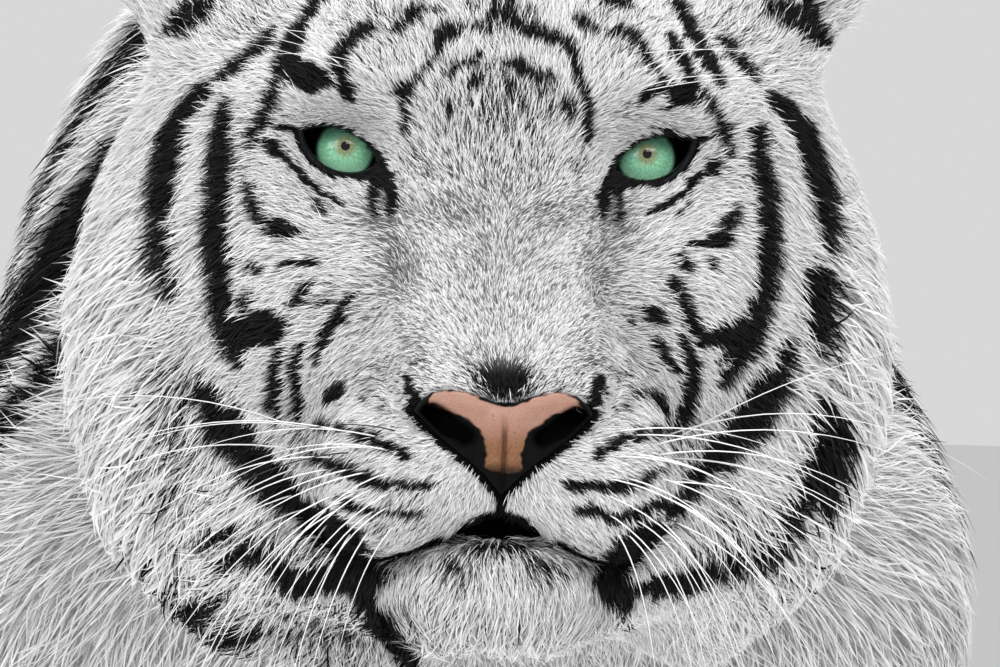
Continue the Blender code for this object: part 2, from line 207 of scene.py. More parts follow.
# a pad with four toes in front
def paw(p, side, kind):
    out, along, halfWidth, halfLength, halfHeight = pawShape[kind]
    x, y = side * out, along + stance[kind + "Step"][side]
    f = ball(p, (x, y, halfHeight * 0.85), (halfWidth, halfLength, halfHeight))
    radii = (0.37 * halfWidth, 0.46 * halfLength, 0.76 * halfHeight)
    for spread, reach in pawShape["toes"]:
        toe = (x + spread * halfWidth, y - 0.70 * halfLength + reach, 0.58 * halfHeight)
        f = smoothMin(f, ball(p, toe, radii), 0.008)
    return f


# tapered limbs from shoulder to elbow, wrist and foot, joined smoothly
def foreleg(p, side):
    step = stance["foreStep"][side]
    shoulder, elbow = (side * 0.150, -0.067, 0.640), (side * 0.150, 0.047 + 0.3 * step, 0.485)
    wrist = (side * 0.137, step, 0.185)
    f = limb(p, (side * 0.100, 0.060, 0.840), shoulder, (0.080, 0.095), (0.098, 0.120))
    f = smoothMin(f, limb(p, shoulder, elbow, (0.098, 0.120), (0.084, 0.096)), 0.04)
    f = smoothMin(f, limb(p, elbow, wrist, (0.082, 0.094), (0.062, 0.064)), 0.04)
    ankle = (side * 0.137, step - 0.025, 0.065)
    f = smoothMin(f, limb(p, wrist, ankle, (0.064, 0.062), (0.066, 0.060)), 0.03)
    return smoothMin(f, paw(p, side, "fore"), 0.03)


# tapered limbs from hip to knee, hock and foot
def hindLeg(p, side):
    step = stance["hindStep"][side]
    knee, hock = (side * 0.145, 0.827 + 0.4 * step, 0.510), (side * 0.132, 1.044 + step, 0.287)
    f = limb(p, (side * 0.090, 0.930, 0.745), knee, (0.098, 0.148), (0.088, 0.120))
    f = smoothMin(f, limb(p, knee, hock, (0.086, 0.105), (0.048, 0.056)), 0.04)
    ankle = (side * 0.130, 0.995 + step, 0.075)
    f = smoothMin(f, limb(p, hock, ankle, (0.046, 0.050), (0.054, 0.052)), 0.03)
    return smoothMin(f, paw(p, side, "hind"), 0.03)


# two tapered limbs, one above the other
def neck(p):
    f = limb(p, (0, 0.04, 0.745), (0, -0.29, 0.805), (0.175, 0.190), (0.140, 0.130))
    return smoothMin(f, limb(p, (0, -0.05, 0.640), (0, -0.29, 0.735), (0.140, 0.140), (0.135, 0.125)), 0.06)


# the smooth union of all but the head
def body(p):
    f = smoothMin(trunk(p), neck(p), 0.07)
    for side in (1, -1):
        f = smoothMin(f, foreleg(p, side), 0.06)
        f = smoothMin(f, hindLeg(p, side), 0.06)
    return smoothMin(f, tail(p), 0.035)


# the head: ellipsoids and tapered limbs joined smoothly, from the point midway between the pupils; forms on
# both sides use the distance from the middle plane
def head(q):
    s = folded(q)
    f = ball(q, (0, 0.100, -0.006), (0.118, 0.130, 0.104))  # cranium
    f = smoothMin(f, ball(q, (0, 0.034, 0.020), (0.086, 0.058, 0.064), (-30, 0, 0)), 0.04)
    bridge = limb(q, (0, 0.004, -0.012), (0, -0.086, -0.108), (0.046, 0.040), (0.041, 0.034), 2.8)
    f = smoothMin(f, bridge, 0.028)
    f = smoothMin(f, ball(s, (0.062, 0.016, 0.030), (0.044, 0.034, 0.020), (0, 14, -18)), 0.026)  # brow
    f = smoothMin(f, ball(s, (0.096, 0.098, 0.046), (0.050, 0.058, 0.050)), 0.04)  # under the ear
    f = smoothMin(f, ball(s, (0.090, 0.058, -0.045), (0.056, 0.072, 0.082)), 0.04)  # cheekbone
    f = smoothMin(f, ball(s, (0.058, 0.010, -0.066), (0.050, 0.046, 0.052)), 0.035)
    f = smoothMin(f, ball(q, (0, -0.045, -0.120), (0.074, 0.070, 0.056)), 0.03)  # muzzle
    f = smoothMin(f, ball(s, (0.114, 0.118, -0.100), (0.072, 0.080, 0.128), (0, 12, 0)), 0.05)  # ruff
    back = limb(s, (0.090, 0.120, -0.090), (0.080, 0.300, -0.070), (0.085, 0.110), (0.090, 0.130))
    f = smoothMin(f, back, 0.04)
    jaw = limb(s, (0.018, -0.045, -0.176), (0.078, 0.080, -0.135), 0.034, 0.060)
    f = smoothMin(f, jaw, 0.03)
    f = smoothMin(f, ball(q, (0, -0.068, -0.177), (0.050, 0.042, 0.032)), 0.016)  # chin
    pads = [
        ball(q, (side * 0.0375, -0.085, -0.134), (0.0415, 0.042, 0.034), (0, side * 22, side * 20))
        for side in (1, -1)
    ]
    f = smoothMin(f, smoothMin(pads[0], pads[1], 0.006), 0.014)
    return smoothMin(f, ball(q, (0, -0.108, -0.112), (0.033, 0.021, 0.024)), 0.014)  # nose


earShape = {
    "place": (0.124, 0.094, 0.098),
    "turn": (-10, 22, 30),
    "outer": (0.054, 0.030, 0.064),
    "inner": (0.045, 0.026, 0.055),
    "inset": (0, -0.018, 0),
    "spot": (0.016, 0.020),  # radius of the white on the back, and of where the black is full
}


# a rounded cup: an outer ellipsoid less an inner one
def ear(q):
    s = folded(q)
    place = np.array(earShape["place"])
    outer = ball(s, place, earShape["outer"], earShape["turn"])
    inner = ball(s, place + earShape["inset"], earShape["inner"], earShape["turn"])
    return smoothMax(outer, -inner, 0.006)


# the tips of the coat: body, head and ears in one
def outline(p):
    q = fromEyes(p)
    return smoothMin(body(p), smoothMin(head(q), ear(q), 0.012), 0.03)


regions = {
    "neck": (0.14, 0.26),  # behind the eyes, where the head's rules turn into the body's
    "ear": ((0.070, 0.100), (0.070, 0.090)),  # up and out from the eyes, where the ears begin
    "hindquarters": 0.45,  # from here back the legs are the hind ones
    "tail": 1.16,  # and from here back all is tail
}


# 0 on the head and 1 on the ear
def onEars(s):
    (low, high), (near, far) = regions["ear"]
    return ease(low, high, s[2]) * ease(near, far, s[0])


lookFrom = {
    "away": 3.2,  # from the eyes to the camera
    "drop": 0.0743,  # the camera is below the eyes
    "aside": 0.0017,  # and to the side
    "width": 0.414,  # of what it sees, at the depth of the eyes
    "turn": (0, 1.45, 2.9),  # the head's turn in the camera's view
}


# the face as it is seen from the front: sideways and up, in metres at the depth of the pupils
def frontView(q):
    grow = lookFrom["away"] / (lookFrom["away"] + q[1])
    return q[0] * grow, (q[2] + lookFrom["drop"]) * grow - lookFrom["drop"]


# distance from (u, w) to a broken line, and how far along it the nearest place is, from 0 to 1
def pathDistance(u, w, points):
    points = np.array(points, np.float32)
    lengths = np.hypot(*np.diff(points, axis=0).T)
    reach = np.r_[0, np.cumsum(lengths)] / lengths.sum()
    best, where = np.full(u.shape, 9, np.float32), np.zeros(u.shape, np.float32)
    for (ua, wa), (ub, wb), length, t0, t1 in zip(points, points[1:], lengths, reach, reach[1:]):
        t = np.clip(((u - ua) * (ub - ua) + (w - wa) * (wb - wa)) / length**2, 0, 1)
        d = np.hypot(u - ua - (ub - ua) * t, w - wa - (wb - wa) * t)
        nearer = d < best
        best, where = np.where(nearer, d, best), np.where(nearer, t0 + (t1 - t0) * t, where)
    return best, where


eyeShape = {
    "tilt": 21,  # the outer corner is the higher
    "middle": 0.0022,  # outwards from the pupil
    "halfLength": 0.0172,
    "above": 0.0080,
    "below": 0.0098,
    "lid": 0.0024,  # thickness
}
mouthLine = [(0.000, -0.1533), (0.010, -0.1548), (0.020, -0.1580), (0.030, -0.1628), (0.038, -0.1665),
             (0.048, -0.1690), (0.060, -0.1650), (0.076, -0.1510)]
faceFolds = [  # depth (less than 0 stands out), width, points on one side of the face, in the front view
    (0.0060, 0.0034, mouthLine),
    (0.0060, 0.0050, [(0.0, -0.154), (0.016, -0.157)]),  # the lips part in the middle
    (0.0026, 0.0022, [(0, -0.133), (0, -0.152)]),  # groove under the nose
    (0.0045, 0.0042, [(0.047, -0.092), (0.042, -0.105), (0.034, -0.115)]),  # beside the nostril
    (0.0016, 0.0045, [(0.032, -0.026), (0.058, -0.026), (0.084, -0.010)]),  # under the eye
    (0.0030, 0.0110, [(0.052, -0.078), (0.078, -0.112), (0.090, -0.150)]),  # cheek and muzzle
    (0.0030, 0.0080, [(0.022, -0.172), (0.046, -0.180), (0.066, -0.172)]),  # under the lip
    (-0.0022, 0.0100, [(0.040, 0.030), (0.066, 0.036), (0.084, 0.024)]),  # brow
]
noseOutline = [  # one side of the nose leather in the front view, in millimetres
    (0, -104.5), (12, -100), (22, -98), (30, -99.5), (35, -103.5), (37, -107), (33, -111.5), (27, -117.5),
    (20, -122.8), (14, -127.5), (7.6, -132.8), (3, -138), (0, -141),
]


# bare black lips: within a line that is thick in the middle, where the lips part; less than 0 inside
def mouthGap(u, w):
    d, _ = pathDistance(u, w, mouthLine)
    return d - 0.0007 - 0.0040 * np.exp(-((u / 0.0140) ** 2))


# true inside a closed outline
def inside(u, w, outline):
    found = np.zeros(u.shape, bool)
    for (ua, wa), (ub, wb) in zip(outline, outline[1:] + outline[:1]):
        if wa != wb:
            found ^= ((wa > w) != (wb > w)) & (u < (ub - ua) * (w - wa) / (wb - wa) + ua)
    return found


# distance to an outline given on one side in millimetres, less than 0 inside
def fromOutline(u, w, outline):
    d, _ = pathDistance(u * 1000, w * 1000, outline)
    return np.where(inside(u * 1000, w * 1000, outline), -d, d) / 1000


depths = {  # of the coat, from its tips down to the skin
    "face": 0.004,
    "cheek": 0.015,  # added on the cheeks
    "crown": 0.004,  # added behind the brow
    "chin": 0.006,  # added under the jaw
    "ear": 0.0015,
    "leg": 0.006,
    "trunk": 0.007,  # added above the legs
    "chest": 0.007,  # added on the forequarters
    "foot": -0.004,  # added at the feet
}


# how far the skin lies under the tips: a few values, each eased in over its own part
def coatDepth(p):
    x, y, z = np.abs(p[0]), p[1] - eyeMid[1], p[2] - eyeMid[2]
    cheek = ease(0.085, 0.165, x) * ease(0.07, -0.05, z)
    onHead = depths["face"] + depths["cheek"] * cheek
    onHead = onHead + depths["crown"] * ease(0.02, 0.12, y) + depths["chin"] * ease(-0.165, -0.20, z)
    onHead += (depths["ear"] - onHead) * onEars((x, y, z))
    onBody = depths["leg"] + depths["trunk"] * ease(0.25, 0.50, p[2]) + depths["chest"] * ease(0.60, 0.30, y)
    onBody += depths["foot"] * ease(0.10, 0.03, p[2])
    return onHead + (onBody - onHead) * ease(*regions["neck"], y)


# the opening between the lids: inside both of two circles that meet at the corners of the eye
def almond(a, b):
    long, up, down = eyeShape["halfLength"], eyeShape["above"], eyeShape["below"]
    upper, lower = (long**2 + up**2) / (2 * up), (long**2 + down**2) / (2 * down)
    return np.maximum(np.hypot(a, b - up + upper) - upper, np.hypot(a, b + down - lower) - lower)


# sideways and up from the pupil, turned so that the corners of the eye are level
def eyePlane(s):
    tilt = math.radians(eyeShape["tilt"])
    out, up = s[0] - stance["eyeApart"] / 2, s[2]
    return (out * math.cos(tilt) + up * math.sin(tilt) - eyeShape["middle"],
            up * math.cos(tilt) - out * math.sin(tilt))


# the face before its eyes are opened: outline + coat's depth + each fold's depth x exp(-(distance/width)^2),
# with flat soles, a hollow under the nose leather, and the lids joined over the balls
def covered(p):
    f = outline(p) + coatDepth(p)
    f = smoothMax(f, 0.0008 - p[2], 0.003)
    q = fromEyes(p)
    near = (q[1] < 0.14) & (np.abs(f) < 0.05)
    q, g = q[:, near], f[near]
    s = folded(q)
    u, w = frontView(s)
    facing = ease(0.11, 0.05, q[1])
    g += facing * 0.0125 * np.exp(-(((u - 0.055) / 0.021) ** 2) - (w / 0.0145) ** 2)
    for depth, width, points in faceFolds:
        d, _ = pathDistance(u, w, points)
        g += facing * depth * np.exp(-((d / width) ** 2))
    front = q[1] < -0.04
    g[front] += 0.014 * ease(-0.0005, -0.0045, fromOutline(u[front], w[front], noseOutline))
    f[near] = smoothMin(g, fromEyeball(s) - eyeShape["lid"], 0.006)
    return f


# the length from the ball's centre less its radius
def fromEyeball(s):
    home = column((stance["eyeApart"] / 2, stance["eyeSetBack"], 0))
    return np.sqrt(((s - home) ** 2).sum(0)) - stance["eyeRadius"]


# the covered face less the opening between the lids, and never inside the ball
def skin(p):
    f = covered(p)
    q = fromEyes(p)
    near = (q[1] < 0.06) & (np.abs(q[2]) < 0.05) & (np.abs(f) < 0.05)
    q, g = q[:, near], f[near]
    s = folded(q)
    opening = np.maximum(almond(*eyePlane(s)), q[1] - stance["eyeSetBack"])
    g = smoothMax(g, -opening, 0.002)
    f[near] = np.maximum(g, 0.0006 - fromEyeball(s))
    return f


grid = {
    "face": 0.0031,  # its step there
    "growth": 3.15,  # the step behind, over that at the face
    "from": -0.39,  # where one step turns into the other
    "to": -0.05,
    "ends": (-0.615, 1.86),  # ahead of the nose and behind the tail
    "half": (66, 73),  # steps sideways and upwards from its axis
    "axis": (0.80, 0.48),  # middle height at the head and at the body
    "sink": (-0.46, -0.18),  # where one height turns into the other
}


# places of a grid that is fine at the head and widens evenly to the body
def bodyGrid():
    step, most = grid["face"], grid["growth"]
    (start, end), (sideways, high) = grid["ends"], grid["half"]
    ys = [start]
    while ys[-1] < end:
        ys.append(ys[-1] + step * (1 + (most - 1) * float(ease(grid["from"], grid["to"], ys[-1]))))
    ys = np.array(ys, np.float32)
    widen = 1 + (most - 1) * ease(grid["from"], grid["to"], ys)
    across = step * np.arange(-sideways, sideways + 1, dtype=np.float32)
    upward = step * np.arange(-high, high + 1, dtype=np.float32)
    sunk = ease(*grid["sink"], ys)
    middle = grid["axis"][0] + (grid["axis"][1] - grid["axis"][0]) * sunk
    shape = (len(across), len(ys), len(upward))
    x = np.broadcast_to(across[:, None, None] * widen[None, :, None], shape)
    y = np.broadcast_to(ys[None, :, None], shape)
    tall = 1 + (most - 1) * sunk
    z = np.broadcast_to(upward[None, None, :] * tall[None, :, None] + middle[None, :, None], shape)
    return np.stack([x, y, z]).astype(np.float32)


# the field at every place of a grid: every fourth place first, then all the places near the surface
def sampled(field, places, stride=4):
    picks = [np.unique(np.r_[np.arange(0, n, stride), n - 1]) for n in places.shape[1:]]
    coarse = places[:, picks[0]][:, :, picks[1]][:, :, :, picks[2]]
    rough = field(coarse.reshape(3, -1)).reshape(coarse.shape[1:])
    span = np.sqrt(((coarse[:, 1:, 1:, 1:] - coarse[:, :-1, :-1, :-1]) ** 2).sum(0)).max(axis=(0, 2))
    span = np.r_[span, span[-1]]
    near = [np.minimum(np.searchsorted(pick, np.arange(n)), len(pick) - 1)
            for pick, n in zip(picks, places.shape[1:])]
    values = rough[near[0]][:, near[1]][:, :, near[2]]
    close = np.abs(values) < 1.1 * span[near[1]][None, :, None]
    values[close] = field(places[:, close])
    return values


# surface net: a vertex in each cell that the surface crosses, at the mean of its crossings, and a quad round
# each grid edge that the surface crosses
def surfaceNet(field, places):
    values = sampled(field, places)
    inside = values < 0
    size = np.array(values.shape)
    corners = [(i, j, k) for i in (0, 1) for j in (0, 1) for k in (0, 1)]

    def at(array, corner):
        return array[(Ellipsis, *(slice(c, n - 1 + c) for c, n in zip(corner, size)))]

    count = sum(at(inside, corner).astype(np.int8) for corner in corners)
    crossed = (count > 0) & (count < 8)
    number = np.full(crossed.shape, -1)
    number[crossed] = np.arange(crossed.sum())
    total, hits = np.zeros((3, crossed.sum())), np.zeros(crossed.sum())
    for a in corners:
        for b in corners:
            if sum(b) - sum(a) != 1 or any(y < x for x, y in zip(a, b)):
                continue
            fa, fb = at(values, a)[crossed], at(values, b)[crossed]
            hit = (fa < 0) != (fb < 0)
            t = np.where(hit, fa / np.where(hit, fa - fb, 1), 0)
            pa, pb = at(places, a)[:, crossed], at(places, b)[:, crossed]
            total += np.where(hit, pa + (pb - pa) * t, 0)
            hits += hit
    quads = []
    for axis in range(3):
        one, two = (axis + 1) % 3, (axis + 2) % 3
        low, high = [slice(None)] * 3, [slice(None)] * 3
        low[axis], high[axis] = slice(0, -1), slice(1, None)
        edge = np.stack(np.nonzero(inside[tuple(low)] != inside[tuple(high)]))
        within = [(edge[side] > 0) & (edge[side] < size[side] - 1) for side in (one, two)]
        edge = edge[:, within[0] & within[1]]
        ring = []
        for back in ((1, 1), (0, 1), (0, 0), (1, 0)):
            cell = edge.copy()
            cell[one] -= back[0]
            cell[two] -= back[1]
            ring.append(number[tuple(cell)])
        quad = np.stack(ring, 1)
        turned = ~inside[tuple(edge)]
        quad[turned] = quad[turned][:, ::-1]
        quads.append(quad)
    return (total / hits).T, np.concatenate(quads)


# the field's slope, by differences a small way apart
def slopeOf(field, p, apart=5e-4):
    steps = np.eye(3, dtype=np.float32) * apart
    return np.stack([field(p + column(s)) - field(p - column(s)) for s in steps]) / (2 * apart)


# vectors over their lengths
def unit(vectors, axis=-1):
    return vectors / np.maximum(np.sqrt((vectors**2).sum(axis, keepdims=True)), 1e-9)


# moves places on to the surface in two steps of field x slope / |slope|^2, none longer than "most"
def settled(field, verts, most=0.006):
    p = verts.T.astype(np.float32)
    for _ in range(2):
        slope = slopeOf(field, p)
        step = field(p) * slope / np.maximum((slope**2).sum(0), 0.05)
        step *= np.minimum(1, most / np.maximum(np.sqrt((step**2).sum(0)), 1e-9))
        p = p - step
    return p.T


# an object of this mesh, moved to where the frame has the tiger; an attribute has one number for each vertex
def piece(name, verts, faces, finish, replaced=(), numbers=None):
    mesh = bpy.data.meshes.new(name)
    verts = np.asarray(verts, np.float64) + shift
    faces = np.asarray(faces, np.int32)
    sides = faces.shape[1]
    mesh.vertices.add(len(verts))
    mesh.vertices.foreach_set("co", verts.astype(np.float32).ravel())
    mesh.loops.add(faces.size)
    mesh.loops.foreach_set("vertex_index", faces.ravel())
    mesh.polygons.add(len(faces))
    mesh.polygons.foreach_set("loop_start", np.arange(0, faces.size, sides, dtype=np.int32))
    mesh.update(calc_edges=True)
    mesh.polygons.foreach_set("use_smooth", np.full(len(faces), True))
    for key, values in (numbers or {}).items():
        mesh.attributes.new(key, "FLOAT", "POINT").data.foreach_set("value", np.asarray(values, np.float32))
    mesh.materials.append(finish)
    mesh.validate()
    obj = bpy.data.objects.new(name, mesh)
    bpy.context.scene.collection.objects.link(obj)
    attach(obj, "root")
    if replaced:
        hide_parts(*replaced)
    return obj


# a value in a material's node tree, with arithmetic
class Value:
    def __init__(self, finish, socket):
        self.finish, self.socket = finish, socket

    def math(self, operation, *others):
        sockets = {i: v for i, v in enumerate((self, *others))}
        return self.finish.node("Math", {"operation": operation}, sockets)

    def __add__(self, other):
        return self.math("ADD", other)

    def __sub__(self, other):
        return self.math("SUBTRACT", other)

    def __mul__(self, other):
        return self.math("MULTIPLY", other)

    def __truediv__(self, other):
        return self.math("DIVIDE", other)

    def __pow__(self, other):
        return self.math("POWER", other)

    def __rsub__(self, other):
        return self * -1 + other

    __radd__, __rmul__ = __add__, __mul__

    # 0 below low and 1 above high
    def ease(self, low, high):
        sockets = {"Value": self, "From Min": low, "From Max": high}
        return self.finish.node("MapRange", {"interpolation_type": "SMOOTHSTEP"}, sockets)


# a material: its shader's constants, its nodes and what they feed
class Finish:
    def __init__(self, name, **constants):
        self.material = bpy.data.materials.new(name)
        self.material.use_nodes = True
        self.tree = self.material.node_tree
        self.shader = self.tree.nodes["Principled BSDF"]
        for key, value in constants.items():
            self.shader.inputs[key.replace("_", " ")].default_value = value

    # any node: its type, its settings, and the values or links of its sockets
    def node(self, kind, settings=None, sockets=None, out=0):
        made = self.tree.nodes.new("ShaderNode" + kind)
        for key, value in (settings or {}).items():
            setattr(made, key, value)
        for key, value in (sockets or {}).items():
            self.join(value, made.inputs[key])
        return Value(self, made.outputs[out])

    def join(self, value, socket):
        if isinstance(value, Value):
            self.tree.links.new(value.socket, socket)
        else:
            socket.default_value = value

    def number(self, name):
        return self.node("Attribute", {"attribute_name": name}, out="Fac")

    def place(self):
        return self.node("TexCoord", out="Object")

    def noise(self, vector, scale, detail):
        return self.node("TexNoise", None, {"Vector": vector, "Scale": scale, "Detail": detail})

    def mix(self, factor, a, b):
        a, b = ((*v, 1) if isinstance(v, tuple) else v for v in (a, b))
        return self.node("Mix", {"data_type": "RGBA"}, {0: factor, 6: a, 7: b}, out=2)

    def bump(self, height, distance, strength):
        return self.node("Bump", None, {"Height": height, "Distance": distance, "Strength": strength})

    def feed(self, **sockets):
        for key, value in sockets.items():
            self.join(value, self.shader.inputs[key.replace("_", " ")])
        return self.material


flesh = ["head", "jaw", "neck", "trunk", "tail_base", "tail_middle", "tail_tip"]
flesh += [f"{part}_{side}" for part in ("foreleg", "forepaw", "thigh", "shank", "hindpaw", "ear")
          for side in ("left", "right")]
skinVerts, skinQuads = surfaceNet(skin, bodyGrid())
skinVerts = settled(skin, skinVerts)
skinNormals = unit(slopeOf(skin, skinVerts.T.astype(np.float32)).T)
report(f"skin, {len(skinQuads)} quads")


# Markings are 1 where the hair is black and 0 where it is white.

